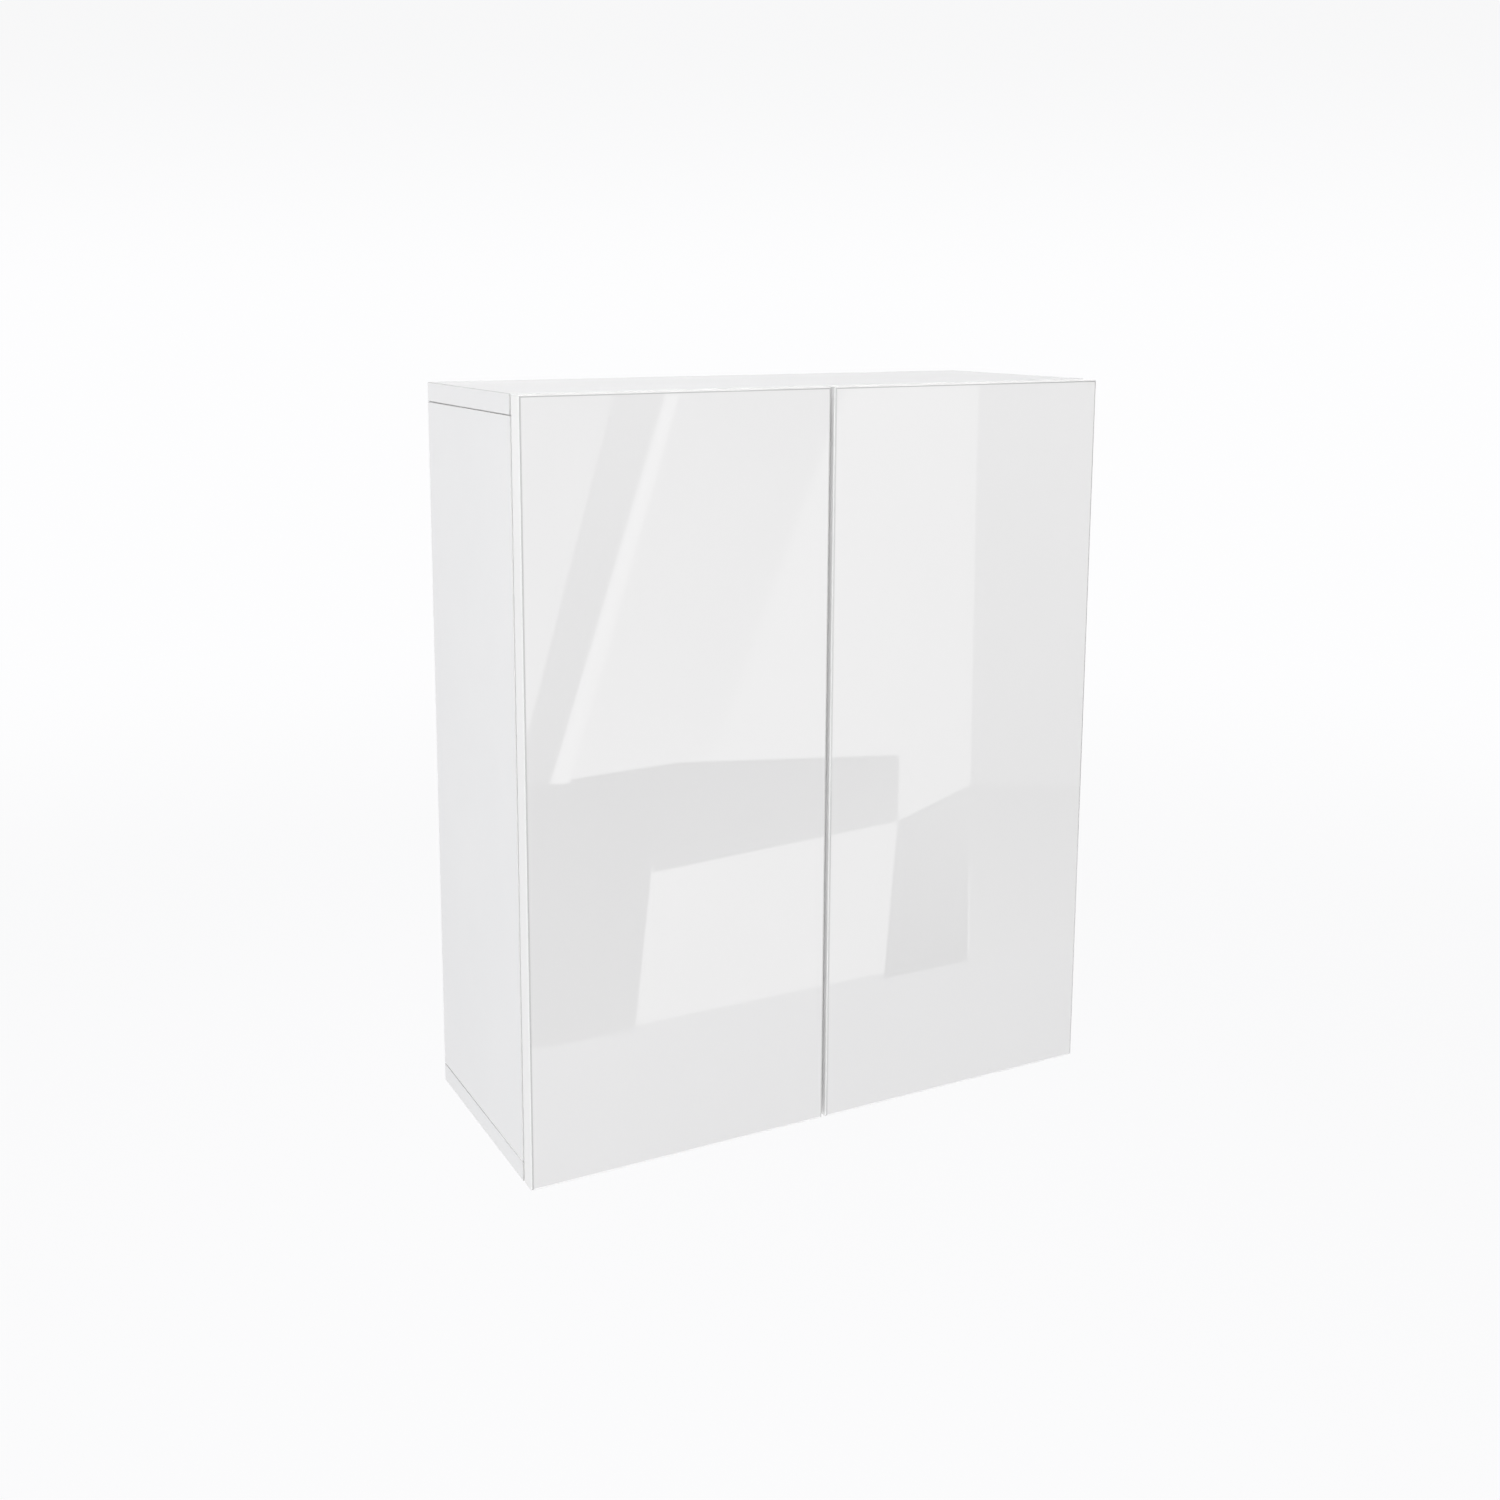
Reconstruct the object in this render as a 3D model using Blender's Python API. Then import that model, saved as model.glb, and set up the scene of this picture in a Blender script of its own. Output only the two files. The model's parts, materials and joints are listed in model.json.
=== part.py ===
"""A hanging wall cabinet with two full-overlay slab doors, two shelves, concealed hinges and push latches.

Units are metres. +Z is up, +X is to the right as seen from the front, and -Y is the front.
The wall plane is Y = 0. The origin lies on the hanging rail's back face, on its screw line.
Pieces that come in left and right pairs are written for the right side and mirrored by `side`.
"""

import math

import bmesh
import bpy
from mathutils import Matrix, Vector

# Cabinet body
WIDTH = 0.600
HEIGHT = 0.700
DEPTH = 0.220
BOARD = 0.018
ORIGIN_BELOW_TOP = 0.050
EDGE = 0.0006  # rounding of the boards' edge banding
GAP = 0.0003  # between pieces that touch

TOP = ORIGIN_BELOW_TOP
BOTTOM = TOP - HEIGHT
ROOM_TOP = TOP - BOARD
ROOM_BOTTOM = BOTTOM + BOARD
SIDE_OUTER = WIDTH / 2
SIDE_INNER = SIDE_OUTER - BOARD
FRONT = -DEPTH

# Back panel, let into grooves ahead of the wall
BACK_THICKNESS = 0.003
BACK_RECESS = 0.015
GROOVE_DEPTH = 0.006
BACK_REACH = 0.0055  # how far the panel enters its grooves
BACK_NOTCH_BELOW = 0.004  # how far the corner notches reach below the hangers
BACK_FRONT = -(BACK_RECESS + BACK_THICKNESS)
GROOVE_FRONT = BACK_FRONT - GAP
GROOVE_REAR = -BACK_RECESS + GAP

# Shelves and their pins, on a 32 mm grid of holes
GRID = 0.032
FIRST_HOLE = 0.017  # lowest grid hole above the bottom panel
SHELF_HOLES = {"lower": 6, "upper": 13}
PIN_COLUMNS = {"front": FRONT + 0.037, "back": -0.057}
PIN_HOLE_RADIUS = 0.0026
PIN_HOLE_DEPTH = 0.009
PIN_HOLE_FLOOR = 0.0005  # room left behind a pin
PIN_RADIUS = 0.0023
PIN_LENGTH = 0.0165
PIN_COLLAR_RADIUS = 0.0034
PIN_COLLAR = 0.0008
SHELF_LENGTH = 0.561
SHELF_FRONT = -0.205
SHELF_BACK = -0.020

# Cam locks that draw the top and bottom panels onto the sides
CAM_RADIUS = 0.0075
CAM_DEPTH = 0.0127
CAM_INSET = 0.034
CAM_SLOT = (0.009, 0.0014, 0.0025)  # long, wide, deep
CAM_COLUMNS = {"front": -0.185, "back": -0.105}

# Doors
DOOR_THICKNESS = 0.018
DOOR_BACK = FRONT - 0.002
DOOR_FRONT = DOOR_BACK - DOOR_THICKNESS
REVEAL = 0.0005  # how far a door stays inside the body's outline
CENTRE_GAP = 0.004
DOOR_ROUNDING = 0.002
DOOR_OUTER = SIDE_OUTER - REVEAL
DOOR_INNER = CENTRE_GAP / 2
DOOR_TOP = TOP - REVEAL
DOOR_BOTTOM = BOTTOM + REVEAL

# Concealed hinges: two links between an arm on the side panel and a cup in the door
HINGE_INSET = 0.100  # cup centre from the door's top or bottom edge
HINGE_LEVELS = {"upper": DOOR_TOP - HINGE_INSET, "lower": DOOR_BOTTOM + HINGE_INSET}
CUP_CENTRE = DOOR_OUTER - 0.0205
CUP_BORE_RADIUS = 0.0175
CUP_BORE_DEPTH = 0.0135
CUP_RADIUS = CUP_BORE_RADIUS - GAP
CUP_WALL = 0.001
EAR = (0.020, 0.059, 0.001)  # the cup's screw flange: across, high, thick
EAR_CENTRE = CUP_CENTRE - 0.004
EAR_ROUNDING = 0.006
CUP_RIM = 0.0008  # the rim's height above the door's back
CUP_NOTCH = (0.008, 0.0156, 0.0006)  # the links' way out: from the centre, high, deep
LONG_ARM_PIN = (0.2501, -0.2194)
LONG_CUP_PIN = (0.2860, -0.2245)
LONG_BEND = ((0.2585, -0.2166), (0.2720, -0.2190))
SHORT_ARM_PIN = (0.2702, -0.2304)
SHORT_CUP_PIN = (0.2860, -0.2276)
SHORT_BEND = ((0.2790, -0.2307),)
LINK_PIN_RADIUS = 0.0012
LINK_HALF_WIDTH = 0.0014
EYE_WALL = 0.00095
RUNNING_CLEARANCE = 0.00006
OPEN_CLEARANCE = 0.0006  # the short link's loose eye, where the closed linkage is opened
LAYER = (0.0006, 0.0062)  # the long link lies above the hinge's mid-plane, the short one below it
CHEEK = (0.0066, 0.0081)  # the arm's cheeks lie outside both links
ARM_WEB = (0.2710, 0.2725)  # the channel's back, across
ARM_EDGE = 0.2780  # the cheeks' edge towards the side panel
ARM_REAR = FRONT + 0.060
WEB_FRONT = FRONT + 0.016
NOSE_RADIUS = 0.0026
NOSE_SHOULDER = -0.2205  # where the cheek starts to narrow into the nose
LOBE_RADIUS = 0.0022
LOBE_TOP = -0.2050
LOBE_INSIDE = [(0.2674, -0.2186), (0.2590, -0.2182)]  # the cheek's line from the nose to the lobe
PLATE_COLUMN = FRONT + 0.037
PLATE_SIZE = (0.003, 0.022, 0.052)  # thick, deep, high
PLATE_ROUNDING = 0.005
PLATE_SCREW_RADIUS = 0.0022
RIB_ENDS = (FRONT + 0.017, FRONT + 0.057)

# Push latches under the top panel
LATCH_CENTRE = 0.022
LATCH_HOUSING = (0.018, 0.080, 0.014)
LATCH_FRONT = FRONT + 0.0005
PLUNGER_RADIUS = 0.004
PLUNGER_LENGTH = 0.044
PLUNGER_TRAVEL = 0.002
PLUNGER_REST = 0.002  # room behind the plunger when it is pressed
PLUNGER_ROUNDING = 0.0005
HOUSING_ROUNDING = 0.001  # of the latch and hanger housings
STRIKE_SIZE = 0.015
STRIKE_THICKNESS = 0.001
STRIKE_ROUNDING = 0.003

# Hanging rail on the wall and the two hangers that hook over it
RAIL_LENGTH = 0.558
RAIL_SCREWS = (0.080, 0.200)
HANGER_CENTRE = 0.2717
HANGER_SIZE = (0.020, 0.059, 0.040)
HANGER_BACK = -0.019
HANGER_WALL = 0.003
SLOT_INSET = 0.008  # the hook's slot starts this far behind the housing's front
HOOK_THICKNESS = 0.003
HOOK_PLAY = 0.0005
ADJUSTER_LEVELS = {"height": 0.020, "depth": 0.003}
ADJUSTER_RADIUS = 0.0035
ADJUSTER_RECESS = 0.005
ADJUSTER_CROSS = (0.0022, 0.0005, 0.0022)  # half long, half wide, deep
RAIL_THICKNESS = 0.002
RAIL_SECTION = [
    (0, -0.0160),
    (0, 0.0080),
    (-0.0075, 0.0125),
    (-0.0075, 0.0215),
    (-0.0095, 0.0215),
    (-0.0095, 0.0114),
    (-0.0020, 0.0069),
    (-0.0020, -0.0160),
]
RAIL_SCREW_RADIUS = 0.0033
HOOK_CLAW = [
    (-0.0032, 0.0258),
    (-0.0032, 0.0145),
    (-0.0072, 0.0145),
    (-0.0072, 0.0218),
    (-0.0098, 0.0218),
]
HOOK_BOTTOM = -0.0020
HOOK_SHOULDER = 0.0200
HOOK_RISE = -0.0240  # where the shank's top starts to drop towards the shoulder

# Facets of round pieces, and the cutters' reach past the faces they cut
PIN_SIDES = 12
ROUND_SIDES = 16
CUP_SIDES = 28
PAST = 0.001
TOUCHING = 1e-6
SMOOTH_ANGLE = math.radians(35)
LARGEST_ROUND_FACE = 0.001  # square metres; larger faces are flat panels


# ---- materials ----


def make_material(name, colour, roughness, metallic=0.0):
    material = bpy.data.materials.new(name)
    material.use_nodes = True
    shader = material.node_tree.nodes["Principled BSDF"]
    shader.inputs["Base Color"].default_value = (*colour, 1.0)
    shader.inputs["Roughness"].default_value = roughness
    shader.inputs["Metallic"].default_value = metallic
    return material


# ---- shapes, added to a bmesh in world coordinates ----


def add_box(shape, low, high):
    low, high = Vector(low), Vector(high)
    matrix = Matrix.Translation((low + high) / 2) @ Matrix.Diagonal((*(high - low), 1))
    bmesh.ops.create_cube(shape, size=1, matrix=matrix)


def add_sided_box(shape, side, low, high):
    """A box written for the right side, mirrored to the left when side is -1."""
    ends = sorted((side * low[0], side * high[0]))
    add_box(shape, (ends[0], *low[1:]), (ends[1], *high[1:]))


def add_rod(shape, start, end, radius, sides=PIN_SIDES):
    """A capped cylinder from start to end."""
    start, end = Vector(start), Vector(end)
    along = end - start
    turn = Vector((0, 0, 1)).rotation_difference(along).to_matrix().to_4x4()
    bmesh.ops.create_cone(
        shape,
        cap_ends=True,
        segments=sides,
        radius1=radius,
        radius2=radius,
        depth=along.length,
        matrix=Matrix.Translation((start + end) / 2) @ turn,
    )


def add_prism(shape, outline, axis, low, high):
    """Extrudes an outline, given in the other two axes, along one axis."""
    rings = []
    for along in (low, high):
        ring = []
        for pair in outline:
            point = list(pair)
            point.insert(axis, along)
            ring.append(shape.verts.new(point))
        rings.append(ring)
        shape.faces.new(ring)
    for i in range(len(outline)):
        shape.faces.new((rings[0][i - 1], rings[0][i], rings[1][i], rings[1][i - 1]))


def mirrored(points, side):
    return [(side * x, y) for x, y in points]


def arc(centre, radius, start, end, steps):
    """Points on an arc, with its angles in degrees."""
    angles = [math.radians(start + (end - start) * i / steps) for i in range(steps + 1)]
    return [(centre[0] + radius * math.cos(a), centre[1] + radius * math.sin(a)) for a in angles]


def strip(points, half_width):
    """The outline of a flat bar along a bent line."""
    left, right = [], []
    for i, point in enumerate(points):
        before = Vector(points[max(i - 1, 0)])
        after = Vector(points[min(i + 1, len(points) - 1)])
        across = (after - before).normalized().orthogonal() * half_width
        left.append(tuple(Vector(point) + across))
        right.append(tuple(Vector(point) - across))
    return left + right[::-1]


def loose_bore(pin_radius, clearance):
    """The corner radius of a faceted bore whose flats clear the pin."""
    return (pin_radius + clearance) / math.cos(math.pi / PIN_SIDES)


def edges_along(shape, axis):
    """The edges that run parallel to one axis."""
    found = []
    for edge in shape.edges:
        ends = edge.verts[0].co - edge.verts[1].co
        if abs(abs(ends[axis]) - ends.length) < TOUCHING:
            found.append(edge)
    return found


def edges_on(shape, axis, value):
    """The edges that lie in the plane where one coordinate has the value."""
    return [edge for edge in shape.edges if all(abs(v.co[axis] - value) < TOUCHING for v in edge.verts)]


def round_edges(shape, edges, width, segments=1):
    bmesh.ops.bevel(shape, geom=edges, offset=width, segments=segments, profile=0.5, affect="EDGES")


# ---- objects ----


def place_of(item):
    """An object's place in the world: parents here are only moved, never turned."""
    return item.location + (place_of(item.parent) if item.parent else Vector())


def smooth_round_faces(shape):
    """Shades the facets of round stretches smooth and leaves flat faces flat."""
    for edge in shape.edges:
        edge.smooth = edge.calc_face_angle(math.pi) < SMOOTH_ANGLE
    for face in shape.faces:
        face.smooth = any(edge.smooth for edge in face.edges) and face.calc_area() < LARGEST_ROUND_FACE


def make_object(name, shape, material, parent=None, origin=None):
    """Turns a bmesh into a named object whose origin is its parent's, or the given point."""
    parent_place = place_of(parent) if parent else Vector()
    origin = parent_place if origin is None else Vector(origin)
    bmesh.ops.recalc_face_normals(shape, faces=shape.faces)
    bmesh.ops.translate(shape, vec=-origin, verts=shape.verts)
    smooth_round_faces(shape)
    mesh = bpy.data.meshes.new(name)
    shape.to_mesh(mesh)
    shape.free()
    mesh.materials.append(material)
    item = bpy.data.objects.new(name, mesh)
    item.location = origin - parent_place
    item.parent = parent
    bpy.context.scene.collection.objects.link(item)
    return item


def make_pivot(name, place):
    """An empty on a joint's axis, which carries the pieces that turn about it."""
    pivot = bpy.data.objects.new(name, None)
    pivot.empty_display_size = 0.02
    pivot.location = place
    bpy.context.scene.collection.objects.link(pivot)
    return pivot


def combine(item, shape, operation):
    """Joins a helper shape to an object ("UNION") or cuts it out ("DIFFERENCE")."""
    name = f"{item.name}_{operation.lower()}_{len(item.modifiers) + 1}"
    helper = make_object(name, shape, item.data.materials[0], item)
    helper.hide_render = True
    helper.display_type = "WIRE"
    modifier = item.modifiers.new(name, "BOOLEAN")
    modifier.operation = operation
    modifier.solver = "EXACT"
    modifier.object = helper


# ---- cabinet body ----


def make_board(name, low, high, material):
    shape = bmesh.new()
    add_box(shape, low, high)
    round_edges(shape, shape.edges[:], EDGE)
    return make_object(name, shape, material, origin=(Vector(low) + Vector(high)) / 2)


def make_top_and_bottom(material):
    """The horizontal panels run the full width and cover the sides' ends."""
    reach = SIDE_INNER + GROOVE_DEPTH
    for name, low, high, face, outward in (
        ("top_panel", ROOM_TOP, TOP, ROOM_TOP, 1),
        ("bottom_panel", BOTTOM, ROOM_BOTTOM, ROOM_BOTTOM, -1),
    ):
        item = make_board(name, (-SIDE_OUTER, FRONT, low), (SIDE_OUTER, 0, high), material)
        ends = sorted((face - outward * PAST, face + outward * GROOVE_DEPTH))
        groove = bmesh.new()
        add_box(groove, (-reach, GROOVE_FRONT, ends[0]), (reach, GROOVE_REAR, ends[1]))
        combine(item, groove, "DIFFERENCE")


def hole_level(hole):
    return ROOM_BOTTOM + FIRST_HOLE + GRID * hole


def cam_levels():
    return {"top": ROOM_TOP - CAM_INSET, "bottom": ROOM_BOTTOM + CAM_INSET}


def add_side_bore(shape, side, depth, column, level, radius, sides):
    """A blind bore into a side panel's inner face."""
    start = (side * (SIDE_INNER - PAST), column, level)
    end = (side * (SIDE_INNER + depth), column, level)
    add_rod(shape, start, end, radius, sides)


def make_side_panel(side, name, material):
    """A side with the back panel's groove, the holes for the shelf pins and the bores for the cams."""
    low, high = ROOM_BOTTOM + GAP, ROOM_TOP - GAP
    ends = sorted((side * SIDE_INNER, side * SIDE_OUTER))
    item = make_board(name, (ends[0], FRONT, low), (ends[1], 0, high), material)
    groove = bmesh.new()
    groove_low = (SIDE_INNER - PAST, GROOVE_FRONT, low - PAST)
    groove_high = (SIDE_INNER + GROOVE_DEPTH, GROOVE_REAR, high + PAST)
    add_sided_box(groove, side, groove_low, groove_high)
    combine(item, groove, "DIFFERENCE")
    bores = bmesh.new()
    for column in PIN_COLUMNS.values():
        for shelf_hole in SHELF_HOLES.values():
            for hole in (shelf_hole - 1, shelf_hole, shelf_hole + 1):
                level = hole_level(hole)
                add_side_bore(bores, side, PIN_HOLE_DEPTH, column, level, PIN_HOLE_RADIUS, PIN_SIDES)
    for column in CAM_COLUMNS.values():
        for level in cam_levels().values():
            add_side_bore(bores, side, CAM_DEPTH, column, level, CAM_RADIUS, ROUND_SIDES)
    combine(item, bores, "DIFFERENCE")


def make_back_panel(material):
    """A thin panel whose upper corners are cut away for the hangers' hooks."""
    reach = SIDE_INNER + BACK_REACH
    high, low = ROOM_TOP + BACK_REACH, ROOM_BOTTOM - BACK_REACH
    notch_x = HANGER_CENTRE - HANGER_SIZE[0] / 2
    notch_z = ROOM_TOP - HANGER_SIZE[2] - BACK_NOTCH_BELOW
    outline = [(-reach, low), (reach, low)]
    for side in (1, -1):
        corner = [(side * reach, notch_z), (side * notch_x, notch_z), (side * notch_x, high)]
        outline += corner[::side]
    shape = bmesh.new()
    add_prism(shape, outline, 1, BACK_FRONT, -BACK_RECESS)
    make_object("back_panel", shape, material, origin=(0, BACK_FRONT, (low + high) / 2))


def make_shelf(name, hole, material):
    low = hole_level(hole) + PIN_RADIUS + GAP
    half = SHELF_LENGTH / 2
    make_board(name, (-half, SHELF_FRONT, low), (half, SHELF_BACK, low + BOARD), material)


def make_shelf_pin(side, name, column, level, material):
    """A steel pin in its hole, with a collar against the panel and a peg under the shelf."""
    inner = SIDE_INNER + PIN_HOLE_DEPTH - PIN_HOLE_FLOOR
    collar = SIDE_INNER - GAP
    shape = bmesh.new()
    ends = [(side * x, column, level) for x in (inner, inner - PIN_LENGTH)]
    add_rod(shape, *ends, PIN_RADIUS)
    item = make_object(name, shape, material, origin=(side * SIDE_INNER, column, level))
    ring = bmesh.new()
    ends = [(side * x, column, level) for x in (collar, collar - PIN_COLLAR)]
    add_rod(ring, *ends, PIN_COLLAR_RADIUS)
    combine(item, ring, "UNION")


def make_cam_lock(side, name, column, level, material):
    """A cam housing, flush in its bore, with a driver slot across its face."""
    face = SIDE_INNER + GAP
    shape = bmesh.new()
    ends = [(side * x, column, level) for x in (SIDE_INNER + CAM_DEPTH - GAP, face)]
    add_rod(shape, *ends, CAM_RADIUS - GAP, ROUND_SIDES)
    item = make_object(name, shape, material, origin=(side * face, column, level))
    length, width, depth = CAM_SLOT
    slot = bmesh.new()
    slot_low = (face - PAST, column - length / 2, level - width / 2)
    slot_high = (face + depth, column + length / 2, level + width / 2)
    add_sided_box(slot, side, slot_low, slot_high)
    combine(item, slot, "DIFFERENCE")


# ---- doors ----


def make_door(side, name, material, pivot):
    """A slab with rounded front edges and two blind bores for the hinge cups."""
    shape = bmesh.new()
    low = (DOOR_INNER, DOOR_FRONT, DOOR_BOTTOM)
    high = (DOOR_OUTER, DOOR_BACK, DOOR_TOP)
    add_sided_box(shape, side, low, high)
    round_edges(shape, edges_on(shape, 1, DOOR_BACK), EDGE)
    round_edges(shape, edges_on(shape, 1, DOOR_FRONT), DOOR_ROUNDING, 4)
    item = make_object(name, shape, material, pivot)
    bores = bmesh.new()
    for level in HINGE_LEVELS.values():
        ends = [(side * CUP_CENTRE, y, level) for y in (DOOR_BACK - CUP_BORE_DEPTH, DOOR_BACK + PAST)]
        add_rod(bores, *ends, CUP_BORE_RADIUS, CUP_SIDES)
    combine(item, bores, "DIFFERENCE")


def make_strike_plate(side, name, level, material, pivot):
    """A small steel plate on the door that the latch's plunger meets."""
    half = STRIKE_SIZE / 2
    low = (LATCH_CENTRE - half, DOOR_BACK + GAP, level - half)
    high = (LATCH_CENTRE + half, DOOR_BACK + GAP + STRIKE_THICKNESS, level + half)
    shape = bmesh.new()
    add_sided_box(shape, side, low, high)
    round_edges(shape, edges_along(shape, 1), STRIKE_ROUNDING, 3)
    make_object(name, shape, material, pivot)


# ---- hinges ----


def add_link_pin(shape, pin, side, level, near, far):
    x, y = side * pin[0], pin[1]
    add_rod(shape, (x, y, level + near), (x, y, level + far), LINK_PIN_RADIUS)


def make_cup(side, name, level, material, pivot):
    """A pressed cup with two screw ears, a notch that the links pass through, and its two link pins."""
    centre = side * CUP_CENTRE
    floor = DOOR_BACK - CUP_BORE_DEPTH + GAP
    rim = DOOR_BACK + CUP_RIM
    shape = bmesh.new()
    add_rod(shape, (centre, floor, level), (centre, rim, level), CUP_RADIUS, CUP_SIDES)
    item = make_object(name, shape, material, pivot)

    across, high, thick = EAR
    ears = bmesh.new()
    ear_low = (EAR_CENTRE - across / 2, DOOR_BACK + GAP, level - high / 2)
    ear_high = (EAR_CENTRE + across / 2, DOOR_BACK + GAP + thick, level + high / 2)
    add_sided_box(ears, side, ear_low, ear_high)
    round_edges(ears, edges_along(ears, 1), EAR_ROUNDING, 3)
    combine(item, ears, "UNION")

    above = rim + EAR[2] + PAST
    hollow = bmesh.new()
    ends = [(centre, y, level) for y in (floor + CUP_WALL, above)]
    add_rod(hollow, *ends, CUP_RADIUS - CUP_WALL, CUP_SIDES)
    combine(item, hollow, "DIFFERENCE")

    start, high, below = CUP_NOTCH
    notch = bmesh.new()
    notch_low = (CUP_CENTRE + start, DOOR_BACK - below, level - high / 2)
    notch_high = (CUP_CENTRE + CUP_RADIUS + PAST, above, level + high / 2)
    add_sided_box(notch, side, notch_low, notch_high)
    combine(item, notch, "DIFFERENCE")

    for pin, sign in ((LONG_CUP_PIN, 1), (SHORT_CUP_PIN, -1)):
        offset = pin[0] - CUP_CENTRE
        wall = math.sqrt((CUP_RADIUS - CUP_WALL / 2) ** 2 - offset**2)
        rod = bmesh.new()
        add_link_pin(rod, pin, side, level, sign * GAP, sign * wall)
        combine(item, rod, "UNION")


def make_link(side, name, level, link, material, pivot):
    """A bent bar with an eye at each end, in its own layer above or below the hinge's mid-plane."""
    low, high = (level + link["layer"][0], level + link["layer"][1])
    shape = bmesh.new()
    points = mirrored((link["arm_pin"], *link["bend"], link["cup_pin"]), side)
    add_prism(shape, strip(points, LINK_HALF_WIDTH), 2, low, high)
    item = make_object(name, shape, material, pivot)
    ends = ((points[0], RUNNING_CLEARANCE), (points[-1], link["cup_clearance"]))
    for (x, y), clearance in ends:
        eye = bmesh.new()
        add_rod(eye, (x, y, low), (x, y, high), LINK_PIN_RADIUS + clearance + EYE_WALL, ROUND_SIDES)
        combine(item, eye, "UNION")
    bores = bmesh.new()
    for (x, y), clearance in ends:
        radius = loose_bore(LINK_PIN_RADIUS, clearance)
        add_rod(bores, (x, y, low - PAST), (x, y, high + PAST), radius)
    combine(item, bores, "DIFFERENCE")


def arm_outline():
    """One cheek of the arm: the channel's depth, the nose in the cup and the lobe for the long link."""
    nose = arc(SHORT_ARM_PIN, NOSE_RADIUS, 10, -180, 8)
    lobe = arc(LONG_ARM_PIN, LOBE_RADIUS, -90, -255, 6)
    return [
        (ARM_WEB[0], ARM_REAR),
        (ARM_EDGE, ARM_REAR),
        (ARM_EDGE, NOSE_SHOULDER),
        *nose,
        *LOBE_INSIDE,
        *lobe,
        (ARM_WEB[0], LOBE_TOP),
    ]


def make_arm(side, name, level, material):
    """A U-shaped channel open towards the side panel, with the pins that carry the links."""
    shape = bmesh.new()
    lap = CHEEK[0] + (CHEEK[1] - CHEEK[0]) / 2
    web_low = (ARM_WEB[0], WEB_FRONT, level - lap)
    web_high = (ARM_WEB[1], ARM_REAR - GAP, level + lap)
    add_sided_box(shape, side, web_low, web_high)
    item = make_object(name, shape, material, origin=(side * SIDE_INNER, PLATE_COLUMN, level))
    outline = mirrored(arm_outline(), side)
    for sign, pin in ((1, LONG_ARM_PIN), (-1, SHORT_ARM_PIN)):
        cheek = bmesh.new()
        ends = sorted((level + sign * CHEEK[0], level + sign * CHEEK[1]))
        add_prism(cheek, outline, 2, *ends)
        combine(item, cheek, "UNION")
        rod = bmesh.new()
        add_link_pin(rod, pin, side, level, sign * GAP, sign * (lap + GAP / 2))
        combine(item, rod, "UNION")


def make_mounting_plate(side, name, level, material):
    """A winged plate on the side panel with the rib that the arm clips over."""
    thick, deep, high = PLATE_SIZE
    face = SIDE_INNER - GAP
    low = (face - thick, PLATE_COLUMN - deep / 2, level - high / 2)
    top = (face, PLATE_COLUMN + deep / 2, level + high / 2)
    shape = bmesh.new()
    add_sided_box(shape, side, low, top)
    round_edges(shape, edges_along(shape, 0), PLATE_ROUNDING, 3)
    item = make_object(name, shape, material, origin=(side * face, PLATE_COLUMN, level))
    rib = bmesh.new()
    rib_low = (ARM_WEB[1] + GAP, RIB_ENDS[0], level - LAYER[1])
    rib_high = (face - thick / 2, RIB_ENDS[1], level + LAYER[1])
    add_sided_box(rib, side, rib_low, rib_high)
    combine(item, rib, "UNION")
    holes = bmesh.new()
    for offset in (-GRID / 2, GRID / 2):
        ends = [(side * x, PLATE_COLUMN, level + offset) for x in (face + PAST, face - thick - PAST)]
        add_rod(holes, *ends, PLATE_SCREW_RADIUS)
    combine(item, holes, "DIFFERENCE")


LONG_LINK = {
    "arm_pin": LONG_ARM_PIN,
    "cup_pin": LONG_CUP_PIN,
    "bend": LONG_BEND,
    "cup_clearance": RUNNING_CLEARANCE,
    "layer": LAYER,
}
SHORT_LINK = {
    "arm_pin": SHORT_ARM_PIN,
    "cup_pin": SHORT_CUP_PIN,
    "bend": SHORT_BEND,
    "cup_clearance": OPEN_CLEARANCE,
    "layer": (-LAYER[1], -LAYER[0]),
}


def make_hinge(side, name, level, materials, pivots):
    make_mounting_plate(side, f"{name}_plate", level, materials["steel"])
    make_arm(side, f"{name}_arm", level, materials["plated"])
    make_link(side, f"{name}_long_link", level, LONG_LINK, materials["plated"], pivots["long"])
    make_link(side, f"{name}_short_link", level, SHORT_LINK, materials["plated"], pivots["short"])
    make_cup(side, f"{name}_cup", level, materials["steel"], pivots["door"])


# ---- push latches ----


def make_latch(side, name, level, materials):
    """A housing under the top panel with a plunger that stands against the door's strike plate."""
    across, deep, high = LATCH_HOUSING
    x = side * LATCH_CENTRE
    low = (x - across / 2, LATCH_FRONT, level - high / 2)
    shape = bmesh.new()
    add_box(shape, low, (low[0] + across, low[1] + deep, low[2] + high))
    round_edges(shape, shape.edges[:], HOUSING_ROUNDING)
    housing = make_object(f"{name}_housing", shape, materials["plastic"], origin=(x, LATCH_FRONT, level))
    start = DOOR_BACK + STRIKE_THICKNESS + 2 * GAP
    end = start + PLUNGER_LENGTH
    floor = end + PLUNGER_TRAVEL + PLUNGER_REST
    bore = bmesh.new()
    add_rod(bore, (x, LATCH_FRONT - PAST, level), (x, floor, level), PLUNGER_RADIUS + GAP, ROUND_SIDES)
    combine(housing, bore, "DIFFERENCE")
    plunger = bmesh.new()
    add_rod(plunger, (x, start, level), (x, end, level), PLUNGER_RADIUS, ROUND_SIDES)
    for tip in (start, end):
        round_edges(plunger, edges_on(plunger, 1, tip), PLUNGER_ROUNDING)
    make_object(f"{name}_plunger", plunger, materials["tip"], origin=(x, start, level))


# ---- hanging gear ----


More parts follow.
